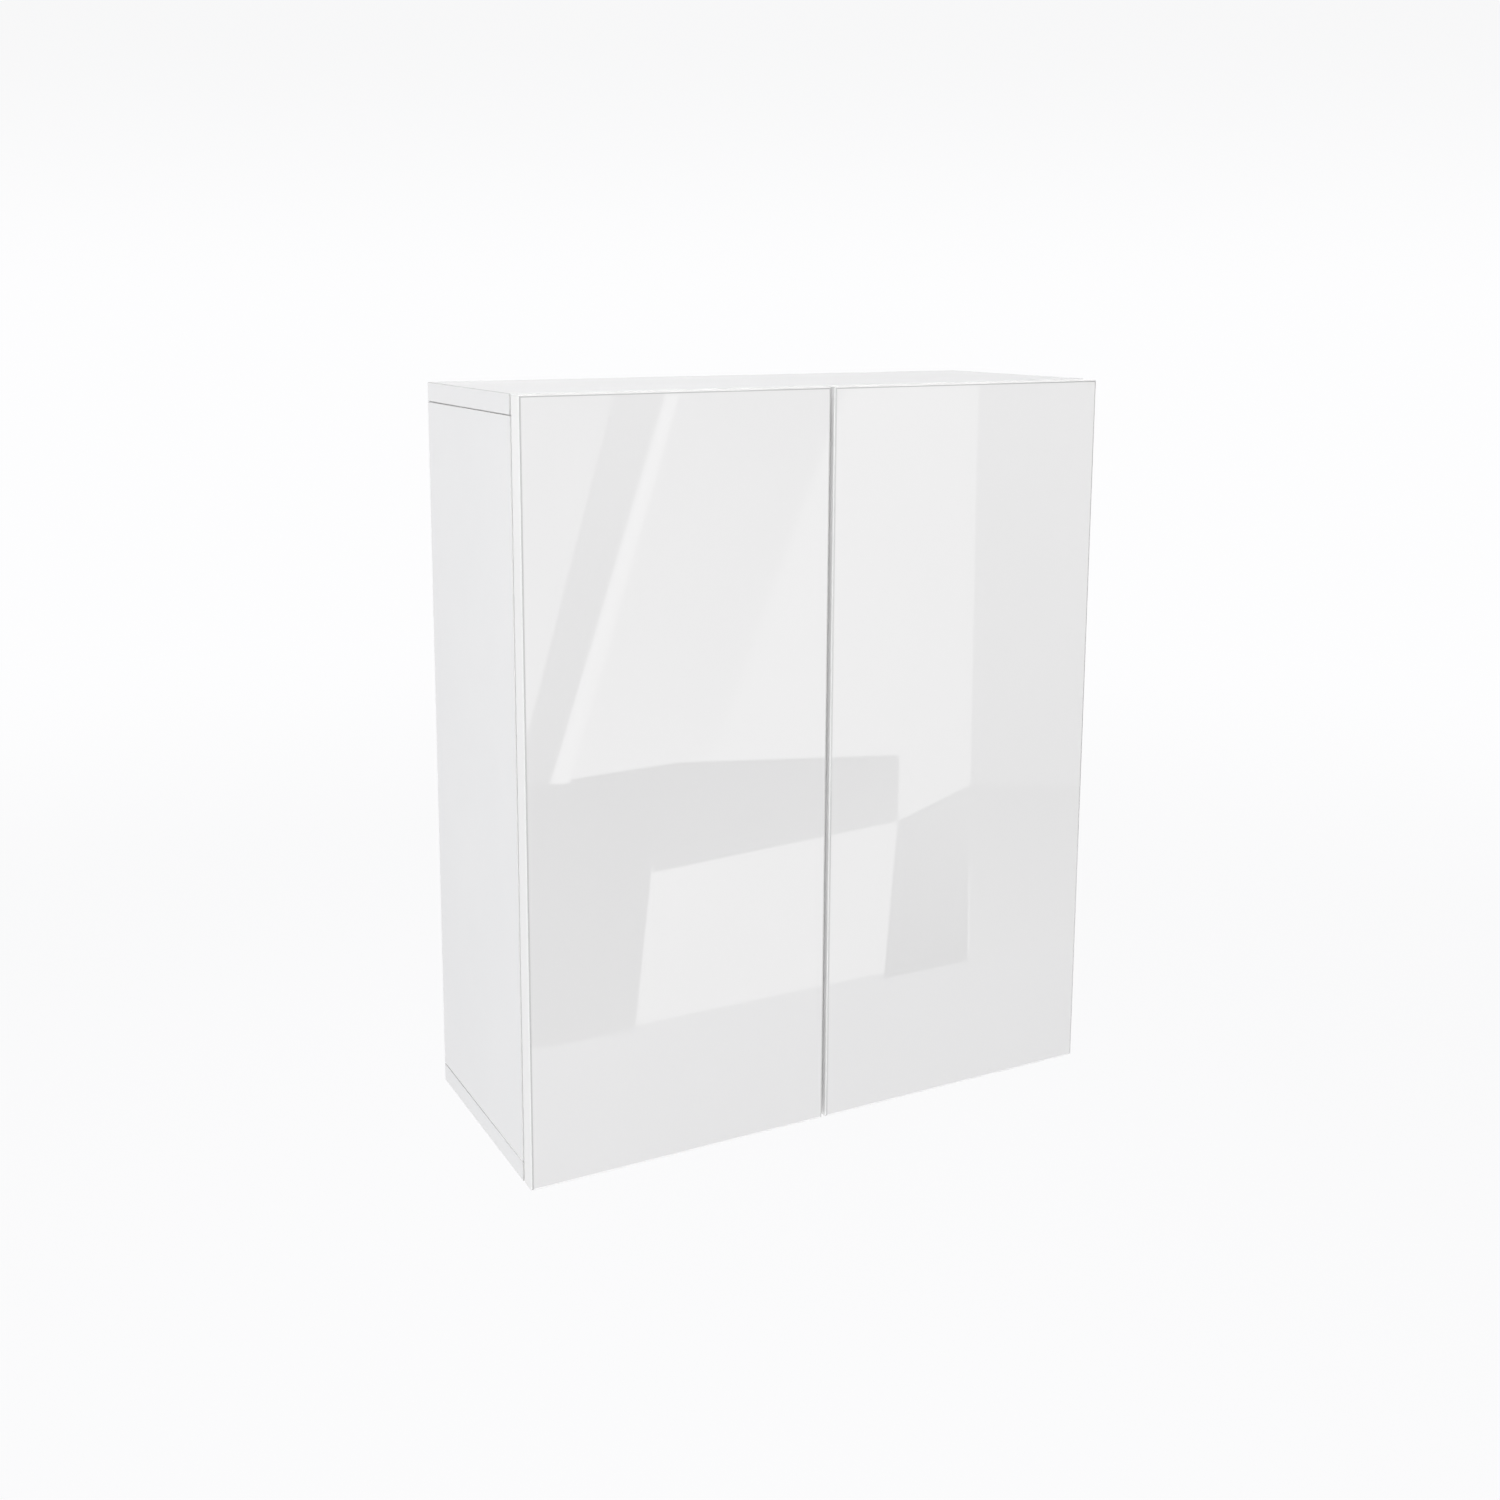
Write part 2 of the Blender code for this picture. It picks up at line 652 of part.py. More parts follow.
def make_rail(material):
    """A strip of Z section: its lower flange lies on the wall and its upper lip stands off it."""
    shape = bmesh.new()
    add_prism(shape, RAIL_SECTION, 0, -RAIL_LENGTH / 2, RAIL_LENGTH / 2)
    item = make_object("wall_rail", shape, material)
    holes = bmesh.new()
    for distance in RAIL_SCREWS:
        for x in (-distance, distance):
            add_rod(holes, (x, PAST, 0), (x, -RAIL_THICKNESS - PAST, 0), RAIL_SCREW_RADIUS)
    combine(item, holes, "DIFFERENCE")


def make_adjuster(name, place, material):
    """A screw head in its recess, with a cross cut for the driver."""
    x, front, level = place
    shape = bmesh.new()
    ends = (x, front + ADJUSTER_RECESS - GAP, level), (x, front + 2 * GAP, level)
    add_rod(shape, *ends, ADJUSTER_RADIUS)
    item = make_object(name, shape, material, origin=place)
    long, short, depth = ADJUSTER_CROSS
    for half_x, half_z in ((long, short), (short, long)):
        cut = bmesh.new()
        cut_low = (x - half_x, front - PAST, level - half_z)
        cut_high = (x + half_x, front + depth, level + half_z)
        add_box(cut, cut_low, cut_high)
        combine(item, cut, "DIFFERENCE")


def make_hook(name, x, end, material):
    """A flat plate that reaches out of the hanger and drops its claw behind the rail's lip."""
    shank = [
        (HOOK_CLAW[-1][0], HOOK_BOTTOM),
        (end, HOOK_BOTTOM),
        (end, HOOK_SHOULDER),
        (HOOK_RISE, HOOK_CLAW[0][1]),
    ]
    shape = bmesh.new()
    add_prism(shape, HOOK_CLAW + shank, 0, x - HOOK_THICKNESS / 2, x + HOOK_THICKNESS / 2)
    make_object(name, shape, material, origin=(x, *HOOK_CLAW[-1]))


def make_hanger(side, name, materials):
    """A housing in the body's upper corner, its hook, and the two screws that adjust the hook."""
    width, depth, height = HANGER_SIZE
    x = side * HANGER_CENTRE
    high = ROOM_TOP - GAP
    low = high - height
    front = HANGER_BACK - depth
    shape = bmesh.new()
    add_box(shape, (x - width / 2, front, low), (x + width / 2, HANGER_BACK, high))
    round_edges(shape, shape.edges[:], HOUSING_ROUNDING)
    housing = make_object(f"{name}_housing", shape, materials["plastic"], origin=(x, front, low))
    half = HOOK_THICKNESS / 2 + HOOK_PLAY
    slot = bmesh.new()
    slot_low = (x - half, front + SLOT_INSET, low + HANGER_WALL)
    slot_high = (x + half, HANGER_BACK + PAST, high - HANGER_WALL)
    add_box(slot, slot_low, slot_high)
    combine(housing, slot, "DIFFERENCE")
    for use, level in ADJUSTER_LEVELS.items():
        recess = bmesh.new()
        ends = (x, front - PAST, level), (x, front + ADJUSTER_RECESS, level)
        add_rod(recess, *ends, ADJUSTER_RADIUS + GAP)
        combine(housing, recess, "DIFFERENCE")
        make_adjuster(f"{name}_{use}_screw", (x, front, level), materials["zinc"])
    make_hook(f"{name}_hook", x, front + SLOT_INSET + HANGER_WALL, materials["steel"])


# ---- the whole cabinet ----


def clear_scene():
    for item in list(bpy.data.objects):
        bpy.data.objects.remove(item, do_unlink=True)


def make_side(side, name, materials):
    """Everything that the cabinet has once on each side."""
    make_side_panel(side, f"{name}_side_panel", materials["board"])
    for shelf, hole in SHELF_HOLES.items():
        for place, column in PIN_COLUMNS.items():
            pin = f"{name}_{shelf}_{place}_shelf_pin"
            make_shelf_pin(side, pin, column, hole_level(hole), materials["zinc"])
    for end, level in cam_levels().items():
        for place, column in CAM_COLUMNS.items():
            make_cam_lock(side, f"{name}_{end}_{place}_cam_lock", column, level, materials["zinc"])

    pivots = {}
    for use, (x, y) in {"door": LONG_CUP_PIN, "long": LONG_ARM_PIN, "short": SHORT_ARM_PIN}.items():
        pivots[use] = make_pivot(f"{name}_{use}_pivot", (side * x, y, 0))
    make_door(side, f"{name}_door", materials["gloss"], pivots["door"])
    for place, level in HINGE_LEVELS.items():
        make_hinge(side, f"{name}_{place}_hinge", level, materials, pivots)

    level = ROOM_TOP - GAP - LATCH_HOUSING[2] / 2
    make_latch(side, f"{name}_latch", level, materials)
    make_strike_plate(side, f"{name}_strike_plate", level, materials["steel"], pivots["door"])
    make_hanger(side, f"{name}_hanger", materials)


def main():
    clear_scene()
    materials = {
        "board": make_material("matt white melamine", (0.80, 0.80, 0.81), 0.55),
        "gloss": make_material("gloss white lacquer", (0.82, 0.82, 0.81), 0.08),
        "back": make_material("white painted hardboard", (0.76, 0.76, 0.75), 0.6),
        "steel": make_material("nickel plated steel", (0.62, 0.61, 0.59), 0.32, 1.0),
        "plated": make_material("bright steel", (0.68, 0.68, 0.68), 0.25, 1.0),
        "zinc": make_material("zinc alloy", (0.55, 0.56, 0.57), 0.42, 1.0),
        "rail": make_material("galvanised steel", (0.58, 0.60, 0.61), 0.45, 1.0),
        "plastic": make_material("white plastic", (0.78, 0.78, 0.76), 0.45),
        "tip": make_material("grey plastic", (0.45, 0.46, 0.47), 0.5),
    }
    make_top_and_bottom(materials["board"])
    make_back_panel(materials["back"])
    for shelf, hole in SHELF_HOLES.items():
        make_shelf(f"{shelf}_shelf", hole, materials["board"])
    make_rail(materials["rail"])
    for side, name in ((-1, "left"), (1, "right")):
        make_side(side, name, materials)


main()
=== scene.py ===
"""Looks of a hanging wall cabinet with two gloss slab doors, two shelves and concealed hinges.

Units are metres. +Z is up, +X is to the right as seen from the front, and -Y is the front.
Pieces that come in left and right pairs are written for the right side and mirrored by `side`.
"""

import json
import math

import bmesh
import bpy
from mathutils import Matrix, Vector

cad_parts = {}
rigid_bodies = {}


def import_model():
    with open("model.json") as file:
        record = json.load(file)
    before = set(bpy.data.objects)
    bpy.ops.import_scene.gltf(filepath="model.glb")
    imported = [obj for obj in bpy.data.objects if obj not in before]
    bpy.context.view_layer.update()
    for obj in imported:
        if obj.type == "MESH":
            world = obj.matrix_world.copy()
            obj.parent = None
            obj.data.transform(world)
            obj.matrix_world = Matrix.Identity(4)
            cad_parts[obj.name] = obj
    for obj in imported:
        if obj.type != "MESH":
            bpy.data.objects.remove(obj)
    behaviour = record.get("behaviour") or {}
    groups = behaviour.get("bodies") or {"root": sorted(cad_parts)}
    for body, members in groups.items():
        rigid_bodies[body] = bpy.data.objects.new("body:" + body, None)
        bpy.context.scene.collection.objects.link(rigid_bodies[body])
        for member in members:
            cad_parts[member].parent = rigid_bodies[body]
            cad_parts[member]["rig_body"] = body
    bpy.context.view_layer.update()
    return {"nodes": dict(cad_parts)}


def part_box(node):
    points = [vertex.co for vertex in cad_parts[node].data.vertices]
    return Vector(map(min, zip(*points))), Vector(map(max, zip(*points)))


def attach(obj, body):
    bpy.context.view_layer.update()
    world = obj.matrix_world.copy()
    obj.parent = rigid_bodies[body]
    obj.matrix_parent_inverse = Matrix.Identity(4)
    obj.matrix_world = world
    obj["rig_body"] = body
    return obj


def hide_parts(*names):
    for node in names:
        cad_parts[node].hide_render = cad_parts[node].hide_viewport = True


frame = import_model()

SIDES = ((-1, "left"), (1, "right"))
ENDS = ("lower", "upper")

# Camera
LENS = 39.83
CAMERA_AT = (-0.7799, -1.5167, 0.1250)
CAMERA_YAW = 26.75
CAMERA_PITCH = 9.197
CAMERA_SHIFT = (0.0352, -0.12)
CAMERA_SENSOR = 36
CAMERA_CLIP_END = 200

# Meshes
SAME_POINT = 2e-6
FLAT_ANGLE = math.radians(0.6)
SHARP_ANGLE = math.radians(33)  # edges sharper than this are rounded
SMOOTH_ANGLE = math.radians(50)  # edges blunter than this are shaded smooth
ROUNDING_SEGMENTS = 2
EDGE_LAYER = "edge"  # 1 on the narrow faces along a piece's edges, 0 elsewhere
OVERSHOOT = 0.001  # how far a cutter stands out of what it cuts

# Edge banding, and the painted shade along the boards' outer edges
BAND = 0.001  # its thickness
SEAM_REACH = 0.00016  # half the width of the hairline where it meets a board's face
SHADE_LINE_REACH = 0.0007  # half the width of the painted shade, a grey line along the boards' outer edges
LINE_CORE = 0.4  # the share of a line's width that is at full strength


# ---- material nodes ----

# The Mix node's sockets for colours, which have the same names as its others
MIX_INPUTS = (0, 6, 7)
MIX_RESULT = 2


class Surface:
    """A material under construction: its Principled shader and short ways to feed it."""

    def __init__(self, name):
        self.material = bpy.data.materials.new(name)
        self.material.use_nodes = True
        self.tree = self.material.node_tree
        self.shader = self.tree.nodes["Principled BSDF"]
        self.place = self.node("ShaderNodeTexCoord").outputs["Object"]

    def node(self, kind, settings=None, **inputs):
        made = self.tree.nodes.new(kind)
        for key, value in (settings or {}).items():
            setattr(made, key, value)
        for key, value in inputs.items():
            self.feed(made.inputs[key.replace("_", " ")], value)
        return made

    def feed(self, socket, value):
        if isinstance(value, bpy.types.NodeSocket):
            self.tree.links.new(value, socket)
        else:
            socket.default_value = value

    def math(self, operation, first, second=0.0):
        made = self.tree.nodes.new("ShaderNodeMath")
        made.operation = operation
        self.feed(made.inputs[0], first)
        self.feed(made.inputs[1], second)
        return made.outputs[0]

    def stretched(self, scale):
        """The place with each axis scaled on its own, for grain and brushing."""
        return self.node("ShaderNodeMapping", Vector=self.place, Scale=scale).outputs[0]

    def noise(self, scale, detail=3.0, rough=0.55, place=None):
        made = self.node(
            "ShaderNodeTexNoise",
            Vector=place or self.place,
            Scale=scale,
            Detail=detail,
            Roughness=rough,
        )
        return made.outputs["Fac"]

    def cells(self, scale, feature="F1"):
        settings = {"feature": feature}
        made = self.node("ShaderNodeTexVoronoi", settings, Vector=self.place, Scale=scale)
        return made.outputs["Distance"]

    def remap(self, value, low, high, to_low=0.0, to_high=1.0):
        made = self.node("ShaderNodeMapRange", {"interpolation_type": "SMOOTHSTEP"})
        sockets = ("Value", "From Min", "From Max", "To Min", "To Max")
        for socket, number in zip(sockets, (value, low, high, to_low, to_high)):
            self.feed(made.inputs[socket], number)
        return made.outputs[0]

    def mix(self, amount, first, second):
        made = self.tree.nodes.new("ShaderNodeMix")
        made.data_type = "RGBA"
        for socket, value in zip(MIX_INPUTS, (amount, first, second)):
            self.feed(made.inputs[socket], value)
        return made.outputs[MIX_RESULT]

    def seam(self, axis, level, mirrored=False, reach=SEAM_REACH):
        """1 on the line at a level of an axis, on both sides if mirrored, and 0 elsewhere."""
        value = self.node("ShaderNodeSeparateXYZ", Vector=self.place).outputs[axis]
        if mirrored:
            value = self.math("ABSOLUTE", value)
        away = self.math("ABSOLUTE", self.math("SUBTRACT", value, level))
        return self.remap(away, LINE_CORE * reach, reach, 1.0, 0.0)

    def any_of(self, masks):
        joined = masks[0]
        for mask in masks[1:]:
            joined = self.math("MAXIMUM", joined, mask)
        return joined

    def edges(self):
        """How much a point lies on a worn edge: the edge faces, broken up by noise."""
        on_edge = self.node("ShaderNodeAttribute", {"attribute_name": EDGE_LAYER}).outputs["Fac"]
        return self.math("MULTIPLY", on_edge, self.remap(self.noise(180), 0.35, 0.65))

    def bump(self, *layers):
        """Height layers, each a (height, distance in metres) pair, on top of each other."""
        normal = None
        for height, distance in layers:
            made = self.node("ShaderNodeBump", Strength=1.0, Distance=distance, Height=height)
            if normal:
                self.feed(made.inputs["Normal"], normal)
            normal = made.outputs[0]
        self.set(Normal=normal)

    def set(self, **inputs):
        for key, value in inputs.items():
            self.feed(self.shader.inputs[key.replace("_", " ")], value)


def colour(red, green, blue):
    return (red, green, blue, 1.0)


def melamine(name, dark_lines):
    """Matt white faced board with a fine pearl texture and thin dark lines: the hairlines of its
    edge bands, and painted shade along the outer edges where such a line is given.
    """
    made = Surface(name)
    cloud = made.remap(made.noise(9, detail=4), 0.1, 0.9)
    base = made.mix(cloud, colour(0.765, 0.767, 0.773), colour(0.787, 0.787, 0.791))
    lines = made.any_of([made.seam(*seam) for seam in dark_lines])
    # The lines darken the colour: hairline joints, and painted shade along the outer edges
    base = made.mix(made.math("MULTIPLY", lines, 0.75), base, colour(0.52, 0.52, 0.515))
    base = made.mix(made.math("MULTIPLY", made.edges(), 0.35), base, colour(0.72, 0.715, 0.70))
    rough = made.remap(made.noise(14, detail=5), 0.1, 0.9, to_low=0.43, to_high=0.55)
    made.set(Base_Color=base, Roughness=rough, IOR=1.5, Specular_IOR_Level=0.4)
    made.bump((made.noise(1500, detail=2), 0.00001), (made.cells(700, "SMOOTH_F1"), 0.000008))
    return made.material


def gloss_lacquer(name, tone):
    """High-gloss white facing: a faint orange peel and almost no roughness."""
    made = Surface(name)
    cloud = made.remap(made.noise(6, detail=3), 0.15, 0.85)
    light = tuple(1.012 * value for value in tone)
    base = made.mix(cloud, colour(*tone), colour(*light))
    wiped = made.noise(3.5, detail=6, rough=0.6, place=made.stretched((1.0, 1.0, 0.35)))
    rough = made.remap(wiped, 0.2, 0.9, to_low=0.010, to_high=0.032)
    made.set(Base_Color=base, Roughness=rough, IOR=2.0)
    made.bump((made.noise(45, detail=1), 0.0000015))
    return made.material


def satin_lacquer():
    """The doors' backs and edges: the same white, satin."""
    made = Surface("satin_white_lacquer")
    cloud = made.remap(made.noise(11, detail=4), 0.1, 0.9)
    base = made.mix(cloud, colour(0.793, 0.793, 0.791), colour(0.813, 0.813, 0.811))
    dark_lines = [made.seam("X", DOOR_INNER + BAND, True), made.seam("X", DOOR_OUTER - BAND, True)]
    dark_lines += [made.seam("Z", DOOR_TOP - BAND), made.seam("Z", DOOR_BOTTOM + BAND)]
    base = made.mix(made.math("MULTIPLY", made.any_of(dark_lines), 0.7), base, colour(0.60, 0.60, 0.59))
    rough = made.remap(made.noise(17, detail=4), 0.1, 0.9, to_low=0.30, to_high=0.40)
    made.set(Base_Color=base, Roughness=rough, IOR=1.5)
    made.bump((made.noise(260, detail=3), 0.000006))
    return made.material


def painted_hardboard():
    """Thin white hardboard: rolled paint over fibres, with the pressing screen's print."""
    made = Surface("white_painted_hardboard")
    cloud = made.remap(made.noise(7, detail=6, rough=0.65), 0.1, 0.9)
    base = made.mix(cloud, colour(0.735, 0.732, 0.722), colour(0.775, 0.772, 0.764))
    strands = made.noise(160, detail=6, rough=0.7, place=made.stretched((0.35, 1.0, 1.0)))
    fibres = made.remap(strands, 0.55, 0.75)
    base = made.mix(made.math("MULTIPLY", fibres, 0.25), base, colour(0.66, 0.645, 0.61))
    rough = made.remap(cloud, 0, 1, to_low=0.52, to_high=0.68)
    made.set(Base_Color=base, Roughness=rough, IOR=1.45)
    waves = []
    for direction in ("X", "Z"):
        wave = made.node(
            "ShaderNodeTexWave",
            {"bands_direction": direction},
            Vector=made.place,
            Scale=130,
            Distortion=0.6,
            Detail=1,
        )
        waves.append(wave.outputs["Fac"])
    screen = made.math("MULTIPLY", *waves)
    made.bump((screen, 0.00004), (fibres, 0.00003))
    return made.material


def metal(name, dark, light, rough, grain, scale=260):
    """A plated or cast metal: grain by `grain`, its axis scales, and polished edges."""
    made = Surface(name)
    brushed = made.noise(scale, detail=5, rough=0.6, place=made.stretched(grain))
    cloud = made.noise(24, detail=4)
    base = made.mix(made.remap(cloud, 0.35, 0.65), colour(*dark), colour(*light))
    bright = tuple(min(1.0, 1.12 * value) for value in light)
    edges = made.edges()
    base = made.mix(made.math("MULTIPLY", edges, 0.8), base, colour(*bright))
    roughness = made.remap(brushed, 0.3, 0.7, rough - 0.06, rough + 0.08)
    roughness = made.math("SUBTRACT", roughness, made.math("MULTIPLY", edges, 0.03))
    made.set(Base_Color=base, Roughness=roughness, Metallic=1.0)
    made.bump((brushed, 0.000012), (cloud, 0.00002))
    return made.material


def galvanised():
    """Zinc-coated strip with its crystal spangle."""
    made = Surface("galvanised_steel")
    spangle = made.node("ShaderNodeTexVoronoi", Vector=made.stretched((1.0, 1.0, 0.7)), Scale=230)
    tone = made.node("ShaderNodeSeparateColor", Color=spangle.outputs["Color"]).outputs[0]
    cloud = made.noise(22, detail=5)
    base = made.mix(tone, colour(0.545, 0.565, 0.585), colour(0.625, 0.645, 0.665))
    stained = made.remap(cloud, 0.5, 0.8, to_low=0.0, to_high=0.35)
    base = made.mix(stained, base, colour(0.58, 0.58, 0.56))
    by_crystal = made.remap(tone, 0, 1, to_low=0.34, to_high=0.46)
    rough = made.math("ADD", by_crystal, made.math("MULTIPLY", cloud, 0.08))
    made.set(Base_Color=base, Roughness=rough, Metallic=1.0)
    made.bump((cloud, 0.00003), (tone, 0.000006))
    return made.material


def plastic(name, dark, light, rough):
    """Moulded plastic with a fine eroded texture and slightly rubbed edges."""
    made = Surface(name)
    cloud = made.remap(made.noise(30, detail=3), 0.3, 0.7)
    base = made.mix(cloud, colour(*dark), colour(*light))
    worn = tuple(0.9 * value for value in dark)
    base = made.mix(made.math("MULTIPLY", made.edges(), 0.5), base, colour(*worn))
    roughness = made.remap(made.noise(60, detail=4), 0.3, 0.7, rough - 0.05, rough + 0.07)
    made.set(Base_Color=base, Roughness=roughness, IOR=1.49)
    made.bump((made.noise(1800, detail=2), 0.00002))
    return made.material


# ---- meshes ----

# A face counts as an edge if it is narrower than this many times the rounding of its piece
EDGE_WIDTH_FACTOR = 2.2
LEAST_ROUNDING = 0.0003  # a smaller rounding counts as this much


def mark_edges(shape, width):
    """Marks the faces no wider than `width`, which are the roundings along the edges."""
    layer = shape.loops.layers.float.new(EDGE_LAYER)
    for face in shape.faces:
        perimeter = sum(edge.calc_length() for edge in face.edges)
        narrow = face.calc_area() < width * perimeter / 2
        for loop in face.loops:
            loop[layer] = 1.0 if narrow else 0.0


def round_sharp_edges(shape, width, shortest):
    """Rounds the convex edges that are at least `shortest` long."""
    edges = []
    for edge in shape.edges:
        if edge.is_manifold and edge.is_convex and edge.calc_length() >= shortest:
            if edge.calc_face_angle() > SHARP_ANGLE:
                edges.append(edge)
    bmesh.ops.bevel(
        shape,
        geom=edges,
        offset=width,
        segments=ROUNDING_SEGMENTS,
        profile=0.5,
        affect="EDGES",
        clamp_overlap=True,
    )


def shade(shape):
    for edge in shape.edges:
        edge.smooth = edge.is_manifold and edge.calc_face_angle() < SMOOTH_ANGLE
    for face in shape.faces:
        face.smooth = True


def make_piece(name, shape, body, materials, edge_width):
    """Turns a bmesh in the row frame into a piece that rides on a body."""
    bmesh.ops.remove_doubles(shape, verts=shape.verts, dist=SAME_POINT)
    bmesh.ops.dissolve_degenerate(shape, dist=SAME_POINT, edges=shape.edges)
    bmesh.ops.recalc_face_normals(shape, faces=shape.faces)
    mark_edges(shape, edge_width)
    shade(shape)
    mesh = bpy.data.meshes.new(name)
    shape.to_mesh(mesh)
    shape.free()
    for material in materials:
        mesh.materials.append(material)
    piece = bpy.data.objects.new(name, mesh)
    bpy.context.scene.collection.objects.link(piece)
    weighted = piece.modifiers.new("weighted_normals", "WEIGHTED_NORMAL")
    weighted.keep_sharp = True
    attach(piece, body)
    return piece


def cad_shape(node):
    """The CAD node's solid with its points joined and its flat faces whole."""
    shape = bmesh.new()
    shape.from_mesh(frame["nodes"][node].data)
    bmesh.ops.remove_doubles(shape, verts=shape.verts, dist=SAME_POINT)
    bmesh.ops.dissolve_limit(shape, angle_limit=FLAT_ANGLE, verts=shape.verts, edges=shape.edges)
    for layer in list(shape.loops.layers.uv):
        shape.loops.layers.uv.remove(layer)
    for face in shape.faces:
        face.material_index = 0
    return shape


def body_of(node):
    return frame["nodes"][node]["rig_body"]


def finer(node, material, rounding, shortest=0.0):
    """Replaces a CAD node by the same solid with rounded edges and smooth shading."""
    shape = cad_shape(node)
    round_sharp_edges(shape, rounding, shortest)
    edge_width = EDGE_WIDTH_FACTOR * max(rounding, LEAST_ROUNDING)
    piece = make_piece(f"{node}_look", shape, body_of(node), [material], edge_width)
    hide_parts(node)


# ---- materials in use ----

DOOR_LOW, DOOR_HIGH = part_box("right_door")
DOOR_INNER, DOOR_OUTER = DOOR_LOW.x, DOOR_HIGH.x
DOOR_BOTTOM, DOOR_TOP = DOOR_LOW.z, DOOR_HIGH.z
BODY_LOW, BODY_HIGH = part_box("top_panel")
FRONT_SEAM = ("Y", BODY_LOW.y + BAND)
SHELF_SEAM = ("Y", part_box("upper_shelf")[0].y + BAND)
# Painted shade: a grey line along the carcass boards' outer edges, for the shade of the gap between
# the doors and the sides
OUTER_SHADE_LINE = ("X", BODY_HIGH.x - SHADE_LINE_REACH, True, SHADE_LINE_REACH)
PANEL_BOARD = melamine("matt_white_panel_board", [FRONT_SEAM, OUTER_SHADE_LINE])
SIDE_BOARD = melamine("matt_white_side_board", [FRONT_SEAM, OUTER_SHADE_LINE])
SHELF_BOARD = melamine("matt_white_shelf_board", [SHELF_SEAM])
GLOSS = gloss_lacquer("gloss_white_facing", (0.648, 0.646, 0.647))
# Darker copies of the facing are painted shade: the dark lines along the doors' front roundings,
# less dark on the inner uprights by the middle gap
GLOSS_SHADE_EDGE = gloss_lacquer("gloss_facing_painted_shade_edge", (0.435, 0.435, 0.435))
GLOSS_INNER_SHADE_EDGE = gloss_lacquer("gloss_facing_inner_painted_shade_edge", (0.51, 0.51, 0.51))
SATIN = satin_lacquer()
HARDBOARD = painted_hardboard()
NICKEL = metal(
    "nickel_plated_steel",
    dark=(0.57, 0.56, 0.535),
    light=(0.64, 0.63, 0.605),
    rough=0.37,
    grain=(1.0, 1.0, 0.2),
)
BRIGHT = metal(
    "bright_steel",
    dark=(0.63, 0.63, 0.63),
    light=(0.70, 0.70, 0.70),
    rough=0.18,
    grain=(0.2, 1.0, 1.0),
)
ZINC = metal(
    "zinc_alloy",
    dark=(0.50, 0.51, 0.52),
    light=(0.58, 0.59, 0.60),
    rough=0.40,
    grain=(1.0, 1.0, 1.0),
    scale=500,
)
GALVANISED = galvanised()
WHITE_PLASTIC = plastic("white_plastic", (0.76, 0.76, 0.735), (0.80, 0.80, 0.78), 0.42)
GREY_PLASTIC = plastic("grey_plastic", (0.42, 0.43, 0.44), (0.47, 0.48, 0.49), 0.46)


# ---- boards ----

BOARD_ROUNDING = 0.0002
BACK_ROUNDING = 0.0003
BOARD_EDGE_LENGTH = 0.015  # no rim of a bore has an edge this long
BOARDS = {
    PANEL_BOARD: ("top_panel", "bottom_panel"),
    SIDE_BOARD: ("left_side_panel", "right_side_panel"),
    SHELF_BOARD: ("upper_shelf", "lower_shelf"),
}
for board, nodes in BOARDS.items():
    for node in nodes:
        finer(node, board, BOARD_ROUNDING, BOARD_EDGE_LENGTH)
finer("back_panel", HARDBOARD, BACK_ROUNDING)


# ---- doors ----

# The facing, its painted shade copy on the outer and top roundings, the satin body, and its less
# dark painted shade copy on the inner uprights' roundings
DOOR_MATERIALS = (GLOSS, GLOSS_SHADE_EDGE, SATIN, GLOSS_INNER_SHADE_EDGE)
FRONT_SLOT, SHADE_EDGE_SLOT, BODY_SLOT, INNER_SHADE_SLOT = range(len(DOOR_MATERIALS))
DOOR_ROUNDING = 0.002
DOOR_SEGMENTS = 8
DOOR_EDGE_WIDTH = 0.0009  # faces narrower than this count as edges
DOOR_BACK_ROUNDING = 0.0006
CUP_BORE_RADIUS = 0.0175
CUP_BORE_DEPTH = 0.0135
CUP_BORE_PLAY = 0.0003
CUP_BORE_SIDES = 56
# How far round the upright and top roundings the painted shade line on the facing reaches, and how
# far back
LINE_ANGLE, TOP_LINE_ANGLE = math.radians(50), math.radians(34)
LINE_DEPTH = (1 - math.cos(LINE_ANGLE)) * DOOR_ROUNDING
TOP_LINE_DEPTH = (1 - math.cos(TOP_LINE_ANGLE)) * DOOR_ROUNDING


def rod(shape, start, end, radius, sides):
    """Adds a capped cylinder from start to end."""
    start, end = Vector(start), Vector(end)
    along = end - start
    turn = Vector((0, 0, 1)).rotation_difference(along).to_matrix().to_4x4()
    bmesh.ops.create_cone(
        shape,
        cap_ends=True,
        segments=sides,
        radius1=radius,
        radius2=radius,
        depth=along.length,
        matrix=Matrix.Translation((start + end) / 2) @ turn,
    )


def block(shape, low, high):
    """Adds a box from its lowest to its highest corner."""
    low, high = Vector(low), Vector(high)
    matrix = Matrix.Translation((low + high) / 2) @ Matrix.Diagonal((*(high - low), 1))
    bmesh.ops.create_cube(shape, size=1, matrix=matrix)


def round_edges_where(shape, chosen, width, segments):
    """Rounds the edges whose two ends both pass a test."""
    edges = [edge for edge in shape.edges if all(chosen(vert.co) for vert in edge.verts)]
    bmesh.ops.bevel(
        shape, geom=edges, offset=width, segments=segments, profile=0.5, affect="EDGES"
    )


